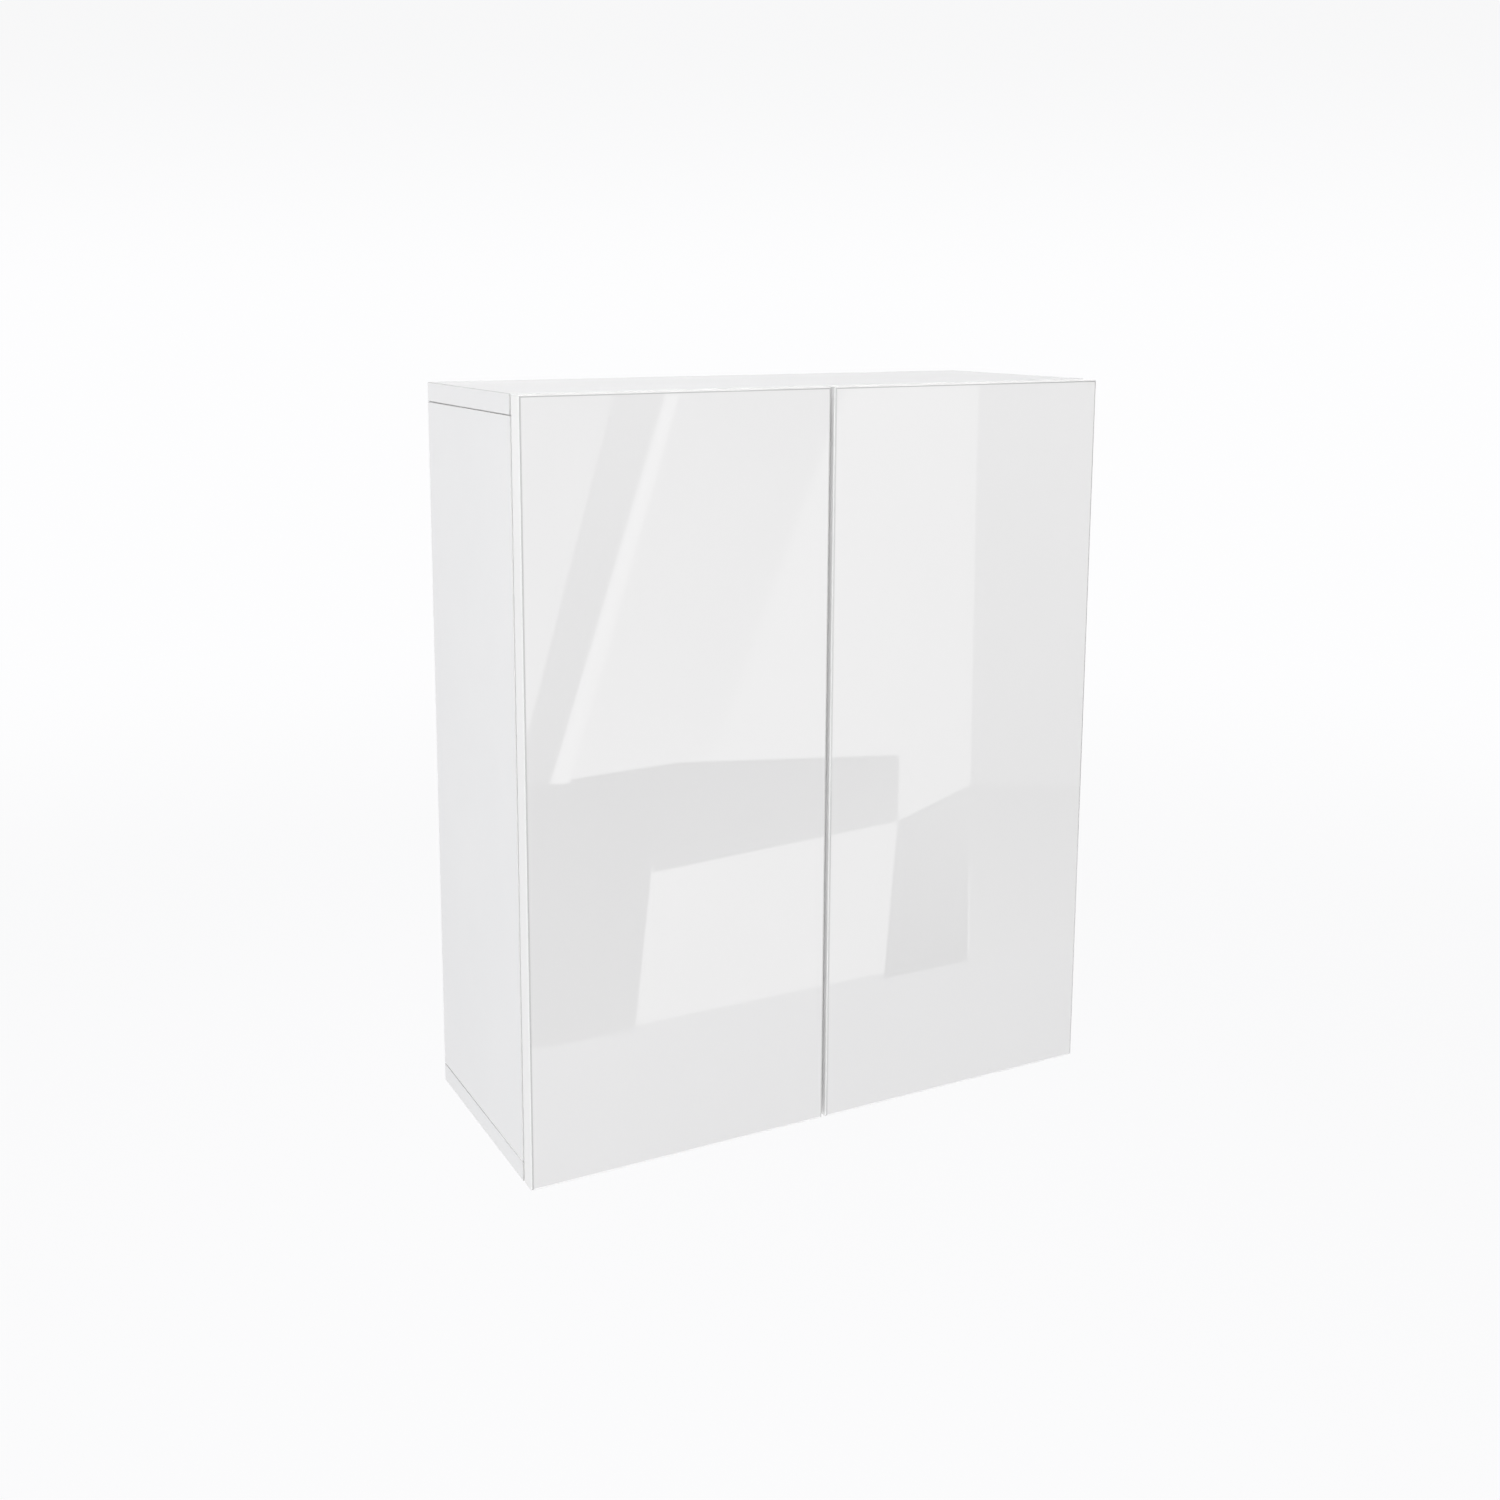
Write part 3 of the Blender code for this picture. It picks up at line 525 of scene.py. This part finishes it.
def cut_out(shape, cutter):
    """The first shape with the second cut out of it, as a new bmesh."""
    pair = []
    for each in (shape, cutter):
        bmesh.ops.recalc_face_normals(each, faces=each.faces)
        mesh = bpy.data.meshes.new("helper")
        each.to_mesh(mesh)
        each.free()
        for _ in DOOR_MATERIALS:
            mesh.materials.append(None)
        item = bpy.data.objects.new("helper", mesh)
        bpy.context.scene.collection.objects.link(item)
        pair.append(item)
    modifier = pair[0].modifiers.new("boolean", "BOOLEAN")
    modifier.operation = "DIFFERENCE"
    modifier.solver = "EXACT"
    modifier.object = pair[1]
    graph = bpy.context.evaluated_depsgraph_get()
    result = bmesh.new()
    cut = pair[0].evaluated_get(graph)
    result.from_mesh(bpy.data.meshes.new_from_object(cut, depsgraph=graph))
    for item in pair:
        bpy.data.objects.remove(item)
    bmesh.ops.remove_doubles(result, verts=result.verts, dist=SAME_POINT)
    bmesh.ops.dissolve_limit(
        result,
        angle_limit=FLAT_ANGLE,
        verts=result.verts,
        edges=result.edges,
        delimit={"MATERIAL"},
    )
    return result


def door_slot(face, low, high):
    """The material slot of a door's face, by where it lies."""
    middle = face.calc_center_median()
    if middle.y < low.y + SAME_POINT:
        return FRONT_SLOT
    # The roundings' front parts take the painted shade copies of the facing
    if middle.z > high.z - DOOR_ROUNDING and middle.y < high.y - DOOR_BACK_ROUNDING:
        return SHADE_EDGE_SLOT if middle.y < low.y + TOP_LINE_DEPTH else FRONT_SLOT
    if middle.z > low.z + DOOR_ROUNDING and middle.y < low.y + LINE_DEPTH:
        return INNER_SHADE_SLOT if abs(middle.x) < DOOR_INNER + DOOR_ROUNDING else SHADE_EDGE_SLOT
    return BODY_SLOT


def make_door(name):
    """A slab with a gloss facing, rounded front edges and the two bores for its hinge cups."""
    low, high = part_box(f"{name}_door")
    shape = bmesh.new()
    block(shape, low, high)
    round_edges_where(
        shape, lambda place: place.y < low.y + SAME_POINT, DOOR_ROUNDING, DOOR_SEGMENTS
    )
    round_edges_where(
        shape, lambda place: place.y > high.y - SAME_POINT, DOOR_BACK_ROUNDING, ROUNDING_SEGMENTS
    )
    for face in shape.faces:
        face.material_index = door_slot(face, low, high)
    bores = bmesh.new()
    for end in ENDS:
        cup_low, cup_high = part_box(f"{name}_{end}_hinge_cup")
        middle = (cup_low + cup_high) / 2
        outermost = max(abs(cup_low.x), abs(cup_high.x))
        x = math.copysign(outermost - CUP_BORE_RADIUS + CUP_BORE_PLAY, middle.x)
        ends = [(x, y, middle.z) for y in (high.y - CUP_BORE_DEPTH, high.y + OVERSHOOT)]
        rod(bores, *ends, CUP_BORE_RADIUS, CUP_BORE_SIDES)
    for face in bores.faces:
        face.material_index = BODY_SLOT
    shape = cut_out(shape, bores)
    node = f"{name}_door"
    body = body_of(node)
    piece = make_piece(
        f"{node}_look", shape, body, DOOR_MATERIALS, DOOR_EDGE_WIDTH
    )
    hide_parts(node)


for _, name in SIDES:
    make_door(name)


# ---- carried-over small pieces ----

# Each by the ending of its node's name: its material, its slot and its edges' rounding
SMALL_PIECES = {
    "hinge_plate": (NICKEL, "nickel_steel", 0.00025),
    "strike_plate": (NICKEL, "nickel_steel", 0.0002),
    "hinge_cup": (NICKEL, "nickel_steel", 0.0002),
    "hanger_hook": (NICKEL, "nickel_steel", 0.0003),
    "hinge_arm": (BRIGHT, "bright_steel", 0.0002),
    "link": (BRIGHT, "bright_steel", 0.0002),
    "shelf_pin": (ZINC, "zinc_alloy", 0.0002),
    "cam_lock": (ZINC, "zinc_alloy", 0.0002),
    "screw": (ZINC, "zinc_alloy", 0.0002),
    "housing": (WHITE_PLASTIC, "white_plastic", 0.0003),
    "plunger": (GREY_PLASTIC, "grey_plastic", 0.0003),
    "wall_rail": (GALVANISED, "galvanised_steel", 0.0003),
}
for node in sorted(frame["nodes"]):
    for ending, (material, slot, rounding) in SMALL_PIECES.items():
        if node.endswith(ending):
            finer(node, material, rounding)


# ---- screws, adjusters, rivets and buffers ----

SEAT = 0.0001  # how deep a head sits in what it rests on
HEAD_SIDES = 28
RIVET_SIDES = 24
HEAD_EDGE_WIDTH = 0.0003  # faces narrower than this count as edges
CHAMFER = 0.3  # of a flat head, as a share of its height
CROSS_WIDTH = 0.2  # of a cross's arm, as a share of its length
MARK_LENGTH = 0.6  # of the marks between the arms, as a share of an arm's
BUFFER_PROFILE = (
    (0.0042, -SEAT),
    (0.0042, 0.0003),
    (0.0038, 0.0010),
    (0.0030, 0.0015),
    (0.0016, 0.0017),
)


def lathe(profile, sides=HEAD_SIDES):
    """A closed solid of revolution about Z from (radius, height) points, lowest first."""
    shape = bmesh.new()
    rings = []
    for radius, height in profile:
        ring = []
        for i in range(sides):
            angle = 2 * math.pi * i / sides
            x, y = radius * math.cos(angle), radius * math.sin(angle)
            ring.append(shape.verts.new((x, y, height)))
        rings.append(ring)
    shape.faces.new(rings[0][::-1])
    shape.faces.new(rings[-1])
    for lower, upper in zip(rings, rings[1:]):
        for i in range(sides):
            j = (i + 1) % sides
            shape.faces.new((lower[i], lower[j], upper[j], upper[i]))
    return shape


def domed(radius, height):
    """The profile of a domed head, sunk a little into its seat at height 0."""
    steps = [(1.0, 0.3), (0.95, 0.55), (0.8, 0.8), (0.55, 0.95), (0.25, 1.0)]
    return [(radius, -SEAT)] + [(radius * across, height * up) for across, up in steps]


def flat_head(radius, height):
    """The profile of a flat head with a chamfered rim."""
    return [
        (radius, -SEAT),
        (radius, (1 - CHAMFER) * height),
        (radius - CHAMFER * height, height),
    ]


def crossed(shape, reach, top, depth):
    """Cuts a driver's cross into a head, with short diagonal marks between its arms."""
    for turn in (0, 45, 90, 135):
        length = reach if turn % 90 == 0 else MARK_LENGTH * reach
        width = CROSS_WIDTH * length
        cutter = bmesh.new()
        block(cutter, (-length, -width, top - depth), (length, width, top + OVERSHOOT))
        matrix = Matrix.Rotation(math.radians(turn), 3, "Z")
        bmesh.ops.rotate(cutter, matrix=matrix, verts=cutter.verts)
        shape = cut_out(shape, cutter)
    return shape


def template(shape):
    """The shape as a mesh that can be put in many places."""
    mesh = bpy.data.meshes.new("template")
    shape.to_mesh(mesh)
    shape.free()
    return mesh


def screw(head, reach, depth):
    """A template of a head, given by its profile, with a driver's cross in it."""
    top = head[-1][1]
    return template(crossed(lathe(head), reach, top, depth))


def put(mesh, name, place, direction, body, material, spin=0.0):
    """A copy of a template at a place, its Z axis along a direction."""
    shape = bmesh.new()
    shape.from_mesh(mesh)
    turn = Vector((0, 0, 1)).rotation_difference(Vector(direction)).to_matrix().to_4x4()
    matrix = Matrix.Translation(place) @ turn @ Matrix.Rotation(math.radians(spin), 4, "Z")
    bmesh.ops.transform(shape, matrix=matrix, verts=shape.verts)
    make_piece(name, shape, body, [material], HEAD_EDGE_WIDTH)


PLATE_SCREW = screw(domed(0.0038, 0.0013), 0.0020, 0.0010)
CUP_SCREW = screw(domed(0.0034, 0.0010), 0.0018, 0.0008)
SIDE_ADJUSTER = screw(domed(0.0028, 0.0009), 0.0016, 0.0007)
DEPTH_ADJUSTER = screw(flat_head(0.0037, 0.0012), 0.0021, 0.0009)
SMALL_SCREW = screw(domed(0.0029, 0.0011), 0.0017, 0.0008)
RIVET = template(lathe(domed(0.0018, 0.0005), RIVET_SIDES))
BUFFER = template(lathe(BUFFER_PROFILE))

# Places on a hinge, as distances from its panel, its middle or the door
PLATE_SEAT = 0.0033  # of the plate's screws, from the side panel's inner face
PLATE_SCREW_LEVEL = 0.016  # above and below the hinge's middle
CUP_SCREW_LEVEL = 0.0240
CUP_SCREW_INSET = 0.0082  # from the ears' inner edge
EAR_HEIGHT = 0.0013  # of the ears' face above the door's back
WEB_SEAT = 0.0110  # of the arm's web, from the side panel's inner face
CHEEK_LEVEL = 0.0081  # of the arm's two cheeks
ARM_PINS = ((0.2501, -0.2194), (0.2702, -0.2304))  # (x, y) of the right side's
# Each end of a hinge: its name, its direction, and the turns of the plate's and the cup's screw
HINGE_ENDS = (("top", 1, 50, 10), ("bottom", -1, -10, 60))
# Each adjuster's name, template, y and turn
ADJUSTERS = (
    ("side_adjuster", SIDE_ADJUSTER, -0.1975, -50),
    ("depth_adjuster", DEPTH_ADJUSTER, -0.1700, 170),
)

# Places of the other screws, as distances from the ends of the housing that they hold
LATCH_FRONT, LATCH_REAR = 0.012, 0.010
HANGER_FRONT, HANGER_REAR = 0.014, 0.010
HANGER_BELOW, HANGER_ABOVE = 0.007, 0.008
# Their turns, in degrees, grow with their y
LATCH_TURN, LATCH_TURN_PER_METRE = 15, 1500
HANGER_TURN_PER_METRE = 900
BUFFER_COLUMN = 0.015  # from the middle of the cabinet


def put_screw(mesh, name, place, direction, body, spin):
    put(mesh, name, place, direction, body, ZINC, spin)


def dress_hinge(side, name, end):
    """The screws of a hinge's plate, cup and arm, and the rivets of its arm."""
    hinge = f"{name}_{end}_hinge"
    leaf = f"{name}_door_leaf"
    inner_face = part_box(f"{name}_side_panel")[0 if side > 0 else 1].x
    inward = (-side, 0, 0)
    low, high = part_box(f"{hinge}_plate")
    column, level = (low.y + high.y) / 2, (low.z + high.z) / 2
    cup_low, cup_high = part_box(f"{hinge}_cup")
    ear_edge = cup_low.x if side > 0 else cup_high.x
    for where, up, plate_turn, cup_turn in HINGE_ENDS:
        place = (inner_face - side * PLATE_SEAT, column, level + up * PLATE_SCREW_LEVEL)
        screw_name = f"{hinge}_plate_{where}_screw"
        put_screw(PLATE_SCREW, screw_name, place, inward, "cabinet", plate_turn)
        x, y = ear_edge + side * CUP_SCREW_INSET, DOOR_HIGH.y + EAR_HEIGHT
        place = (x, y, level + up * CUP_SCREW_LEVEL)
        put_screw(CUP_SCREW, f"{hinge}_cup_{where}_screw", place, (0, 1, 0), leaf, cup_turn)
        for i, (x, y) in enumerate(ARM_PINS):
            place = (side * x, y, level + up * CHEEK_LEVEL)
            rivet_name = f"{hinge}_arm_{where}_rivet_{i}"
            put(RIVET, rivet_name, place, (0, 0, up), "cabinet", BRIGHT)
    for kind, mesh, y, turn in ADJUSTERS:
        place = (inner_face - side * WEB_SEAT, y, level)
        put_screw(mesh, f"{hinge}_{kind}", place, inward, "cabinet", turn)


def dress_latch(name):
    """The two screws that hold a latch's housing under the top panel."""
    low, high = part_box(f"{name}_latch_housing")
    for where, y in (("front", low.y + LATCH_FRONT), ("rear", high.y - LATCH_REAR)):
        place = ((low.x + high.x) / 2, y, low.z)
        turn = LATCH_TURN + LATCH_TURN_PER_METRE * y
        put_screw(SMALL_SCREW, f"{name}_latch_{where}_screw", place, (0, 0, -1), "cabinet", turn)


def dress_hanger(side, name):
    """The two screws that hold a hanger's housing to the side panel."""
    low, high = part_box(f"{name}_hanger_housing")
    inner_face = low.x if side > 0 else high.x
    places = {
        "front": (inner_face, low.y + HANGER_FRONT, low.z + HANGER_BELOW),
        "rear": (inner_face, high.y - HANGER_REAR, high.z - HANGER_ABOVE),
    }
    for where, place in places.items():
        turn = HANGER_TURN_PER_METRE * place[1]
        screw_name = f"{name}_hanger_{where}_screw"
        put_screw(SMALL_SCREW, screw_name, place, (-side, 0, 0), "cabinet", turn)


def dress_door(side, name):
    """Two white buffers on the door's back, where it meets the body's front edges."""
    leaf = f"{name}_door_leaf"
    edge_middle = (BODY_HIGH.z - BODY_LOW.z) / 2
    for where, z in (("top", DOOR_TOP - edge_middle), ("bottom", DOOR_BOTTOM + edge_middle)):
        place = (side * BUFFER_COLUMN, DOOR_HIGH.y, z)
        buffer_name = f"{name}_door_{where}_buffer"
        put(BUFFER, buffer_name, place, (0, 1, 0), leaf, WHITE_PLASTIC)


for side, name in SIDES:
    dress_door(side, name)
    dress_latch(name)
    dress_hanger(side, name)
    for end in ENDS:
        dress_hinge(side, name, end)


# ---- stage ----

BACKGROUND = (0.984, 0.984, 0.991)
ZENITH = (0.935, 0.935, 0.940)
AMBIENT = (0.470, 0.470, 0.475)
DOME_RADIUS = 38.0
DOME_SUBDIVISIONS = 5
ZENITH_LEVEL = 0.17  # where the background reaches the zenith's colour, as a share of the radius
FLOOR_LEVEL = -2.0
FLOOR_REACH = 30.0
FLOOR_NEAR = 2.0  # where the floor starts to fade into the background
FLOOR_FAR = 9.0
FLOOR_PAINT = (0.92, 0.92, 0.925)
FLOOR_DIFFUSE = 0.1  # how much of the floor's brightness is lamplight; the rest is its own
CARD_TINT = (1.0, 0.995, 0.985)
CARD_STEP = 0.01  # how much nearer to the doors each door card stands than the one before
ROOM_PLANE = -3.2  # the y of the door cards
DOOR_PLANE = DOOR_LOW.y


def stage_object(name, mesh, material):
    mesh.materials.append(material)
    item = bpy.data.objects.new(name, mesh)
    bpy.context.scene.collection.objects.link(item)
    return item


def stage_quad(name, corners, material):
    mesh = bpy.data.meshes.new(name)
    mesh.from_pydata([tuple(corner) for corner in corners], [], [(0, 1, 2, 3)])
    return stage_object(name, mesh, material)


def stage_material(name):
    """An empty material with its output, for the stage."""
    material = bpy.data.materials.new(name)
    material.use_nodes = True
    tree = material.node_tree
    tree.nodes.clear()
    return material, tree, tree.nodes.new("ShaderNodeOutputMaterial").inputs["Surface"]


def make_dome():
    """The plain background, which only the camera sees."""
    material, tree, surface = stage_material("background")
    place = tree.nodes.new("ShaderNodeTexCoord")
    height = tree.nodes.new("ShaderNodeSeparateXYZ")
    ramp = tree.nodes.new("ShaderNodeMapRange")
    ramp.interpolation_type = "SMOOTHSTEP"
    ramp.inputs["From Min"].default_value = 0.0
    ramp.inputs["From Max"].default_value = ZENITH_LEVEL * DOME_RADIUS
    mixer = tree.nodes.new("ShaderNodeMix")
    mixer.data_type = "RGBA"
    amount, low, high = (mixer.inputs[socket] for socket in MIX_INPUTS)
    low.default_value = colour(*BACKGROUND)
    high.default_value = colour(*ZENITH)
    glow = tree.nodes.new("ShaderNodeEmission")
    tree.links.new(place.outputs["Object"], height.inputs[0])
    tree.links.new(height.outputs["Z"], ramp.inputs["Value"])
    tree.links.new(ramp.outputs["Result"], amount)
    tree.links.new(mixer.outputs[MIX_RESULT], glow.inputs["Color"])
    tree.links.new(glow.outputs[0], surface)
    shape = bmesh.new()
    bmesh.ops.create_icosphere(shape, subdivisions=DOME_SUBDIVISIONS, radius=DOME_RADIUS)
    mesh = bpy.data.meshes.new("background")
    shape.to_mesh(mesh)
    shape.free()
    only_seen_by(stage_object("background", mesh, material), camera=True)


def only_seen_by(item, camera=False, glossy=False):
    """Hides a stage object from every kind of ray but the ones named."""
    item.visible_camera = camera
    item.visible_glossy = glossy
    item.visible_diffuse = False
    item.visible_transmission = False
    item.visible_volume_scatter = False
    item.visible_shadow = False


def make_floor():
    """A pale floor, partly lit from below, that fades into the background with distance."""
    material, tree, surface = stage_material("floor")
    near = tree.nodes.new("ShaderNodeMixShader")
    near.inputs["Fac"].default_value = 1 - FLOOR_DIFFUSE
    mixer = tree.nodes.new("ShaderNodeMixShader")
    diffuse = tree.nodes.new("ShaderNodeBsdfDiffuse")
    glow = tree.nodes.new("ShaderNodeEmission")
    diffuse.inputs["Color"].default_value = colour(*FLOOR_PAINT)
    glow.inputs["Color"].default_value = colour(*BACKGROUND)
    place = tree.nodes.new("ShaderNodeTexCoord")
    length = tree.nodes.new("ShaderNodeVectorMath")
    length.operation = "LENGTH"
    spread = tree.nodes.new("ShaderNodeMapRange")
    spread.interpolation_type = "SMOOTHERSTEP"
    spread.inputs["From Min"].default_value = FLOOR_NEAR
    spread.inputs["From Max"].default_value = FLOOR_FAR
    tree.links.new(place.outputs["Object"], length.inputs[0])
    tree.links.new(length.outputs["Value"], spread.inputs["Value"])
    tree.links.new(spread.outputs["Result"], mixer.inputs["Fac"])
    tree.links.new(diffuse.outputs[0], near.inputs[1])
    tree.links.new(glow.outputs[0], near.inputs[2])
    tree.links.new(near.outputs[0], mixer.inputs[1])
    tree.links.new(glow.outputs[0], mixer.inputs[2])
    tree.links.new(mixer.outputs[0], surface)
    reach = FLOOR_REACH
    corners = [(-reach, -reach, 0), (reach, -reach, 0), (reach, reach, 0), (-reach, reach, 0)]
    floor = stage_quad("floor", corners, material)
    floor.location = (0, 0, FLOOR_LEVEL)


def make_world():
    world = bpy.data.worlds.new("studio")
    bpy.context.scene.world = world
    world.use_nodes = True
    background = world.node_tree.nodes["Background"]
    background.inputs["Color"].default_value = colour(*AMBIENT)
    background.inputs["Strength"].default_value = 1.0


def make_lamp(name, place, target, size, power):
    """A soft rectangular lamp at a place, aimed at a target, that neither camera nor gloss sees."""
    data = bpy.data.lights.new(name, "AREA")
    data.shape = "RECTANGLE"
    data.size, data.size_y = size
    data.energy = power
    lamp = bpy.data.objects.new(name, data)
    lamp.location = place
    lamp.rotation_euler = (Vector(target) - Vector(place)).to_track_quat("-Z", "Y").to_euler()
    lamp.visible_camera = False
    lamp.visible_glossy = False
    bpy.context.scene.collection.objects.link(lamp)


def make_card(name, corners, brightness):
    """A card that only shows in the gloss, with a brightness at each of its four corners."""
    material, tree, surface = stage_material(name)
    glow = tree.nodes.new("ShaderNodeEmission")
    glow.inputs["Color"].default_value = colour(*CARD_TINT)
    fade = tree.nodes.new("ShaderNodeAttribute")
    fade.attribute_name = "brightness"
    tree.links.new(fade.outputs["Fac"], glow.inputs["Strength"])
    tree.links.new(glow.outputs[0], surface)
    card = stage_quad(name, corners, material)
    values = card.data.attributes.new("brightness", "FLOAT", "POINT")
    values.data.foreach_set("value", brightness)
    only_seen_by(card, glossy=True)


def shown_in_door(x, z, nearer):
    """The point in front of the doors that the camera sees mirrored at a point of them."""
    eye = Vector((CAMERA_AT[0], 2 * DOOR_PLANE - CAMERA_AT[1], CAMERA_AT[2]))
    through = Vector((x, DOOR_PLANE, z)) - eye
    return eye + through * ((ROOM_PLANE + nearer - eye.y) / through.y)


# The broad areas of light and dark in the doors, each by where it shows in the shut doors:
# its (x, z, brightness) corners, which go round from the lower left
DOOR_CARDS = {
    "wall": (
        (-0.60, -0.80, 1.40),
        (0.70, -0.80, 1.50),
        (0.70, 0.50, 1.45),
        (-0.60, 0.50, 1.30),
    ),
    "ground": (
        (-0.60, -0.80, 1.00),
        (0.70, -0.80, 0.80),
        (0.70, -0.64, 0.90),
        (-0.60, -0.47, 1.00),
    ),
    "low_wall": (
        (-0.60, -0.47, 0.50),
        (-0.20, -0.53, 0.60),
        (-0.17, -0.27, 0.30),
        (-0.60, -0.285, 0.25),
    ),
    "low_band": (
        (-0.18, -0.375, 0.45),
        (0.078, -0.365, 0.75),
        (0.078, -0.30, 0.60),
        (-0.18, -0.275, 0.30),
    ),
    "low_corner": (
        (0.06, -0.59, 0.35),
        (0.165, -0.60, 0.35),
        (0.162, -0.34, 0.85),
        (0.078, -0.365, 0.70),
    ),
    "side_wall": (
        (0.162, -0.34, 0.92),
        (0.70, -0.42, 0.92),
        (0.70, 0.50, 1.20),
        (0.155, 0.50, 1.10),
    ),
    "side_low": (
        (0.168, -0.61, 1.05),
        (0.70, -0.70, 1.05),
        (0.70, -0.42, 0.75),
        (0.162, -0.34, 0.75),
    ),
    "slope": (
        (-0.60, -0.285, 1.20),
        (-0.122, -0.277, 1.30),
        (0.20, 0.50, 0.70),
        (-0.60, 0.50, 0.95),
    ),
    "slope_shade": (
        (-0.31, -0.281, 0.50),
        (-0.277, -0.281, 0.50),
        (-0.132, 0.15, 0.78),
        (-0.185, 0.15, 0.72),
    ),
    "slope_light": (
        (-0.277, -0.281, 1.50),
        (-0.259, -0.283, 1.50),
        (-0.120, 0.15, 1.45),
        (-0.132, 0.15, 1.45),
    ),
}

# The cards around the room, by their corners and the brightness at each corner
ROOM_CARDS = {
    # A wide card far in front keeps the gloss light from every side
    "surround": (((-12, -7, -3), (12, -7, -3), (12, -7, 1.6), (-12, -7, 1.6)), (1.05,) * 4),
    # Dark side cards draw the thin lines along the doors' upright edges
    "left": (((-3.6, -4.6, -2), (-3.6, 5, -2), (-3.6, 5, 4), (-3.6, -4.6, 4)), (0.4,) * 4),
    "right": (((4.6, -3.6, -2), (4.6, 3.4, -2), (4.6, 3.4, 4), (4.6, -3.6, 4)), (0.1,) * 4),
    # A low card behind lights the top faces, which the camera sees at a glancing angle
    "rear": (((-7, 6, -1.0), (9, 6, -1.0), (9, 6, 3.0), (-7, 6, 3.0)), (1.3, 1.3, 1.1, 1.1)),
    # The overhead softbox draws the bright line along the top edges
    "overhead": (
        ((-3.4, -3.0, 3.2), (4.4, -3.0, 3.2), (4.4, 0.8, 3.2), (-3.4, 0.8, 3.2)),
        (3.8,) * 4,
    ),
}


def make_cards():
    for i, (name, corners) in enumerate(DOOR_CARDS.items()):
        places = [shown_in_door(x, z, CARD_STEP * i) for x, z, _ in corners]
        make_card(f"card_{name}", places, [brightness for _, _, brightness in corners])
    for name, (places, brightness) in ROOM_CARDS.items():
        make_card(f"card_{name}", places, brightness)


def make_camera():
    data = bpy.data.cameras.new("camera")
    data.lens = LENS
    data.sensor_width = CAMERA_SENSOR
    data.shift_x, data.shift_y = CAMERA_SHIFT
    data.clip_end = CAMERA_CLIP_END
    camera = bpy.data.objects.new("camera", data)
    camera.location = CAMERA_AT
    turn = (90 - CAMERA_PITCH, 0, -CAMERA_YAW)
    camera.rotation_euler = [math.radians(angle) for angle in turn]
    bpy.context.scene.collection.objects.link(camera)
    bpy.context.scene.camera = camera


# The lamps by place, target, size and power
LAMPS = {
    "key": ((-1.85, -3.4, 1.2), (0, -0.1, -0.3), (0.8, 2.6), 78),
    "side": ((-3.6, -0.7, -0.2), (0, -0.1, -0.3), (2.0, 2.0), 16.5),
    "fill": ((3.2, -2.4, 0.6), (0, -0.1, -0.3), (2.4, 2.4), 28),
    "top": ((0.2, -0.3, 2.8), (0, -0.1, 0), (2.6, 2.6), 17),
    "rear": ((0.6, 3.4, 1.4), (0, 0, -0.3), (2.4, 2.4), 44),
}

make_dome()
make_floor()
make_world()
for name, lamp in LAMPS.items():
    make_lamp(name, *lamp)
make_cards()
make_camera()
scene = bpy.context.scene
scene.view_settings.view_transform = "Standard"
scene.view_settings.look = "None"
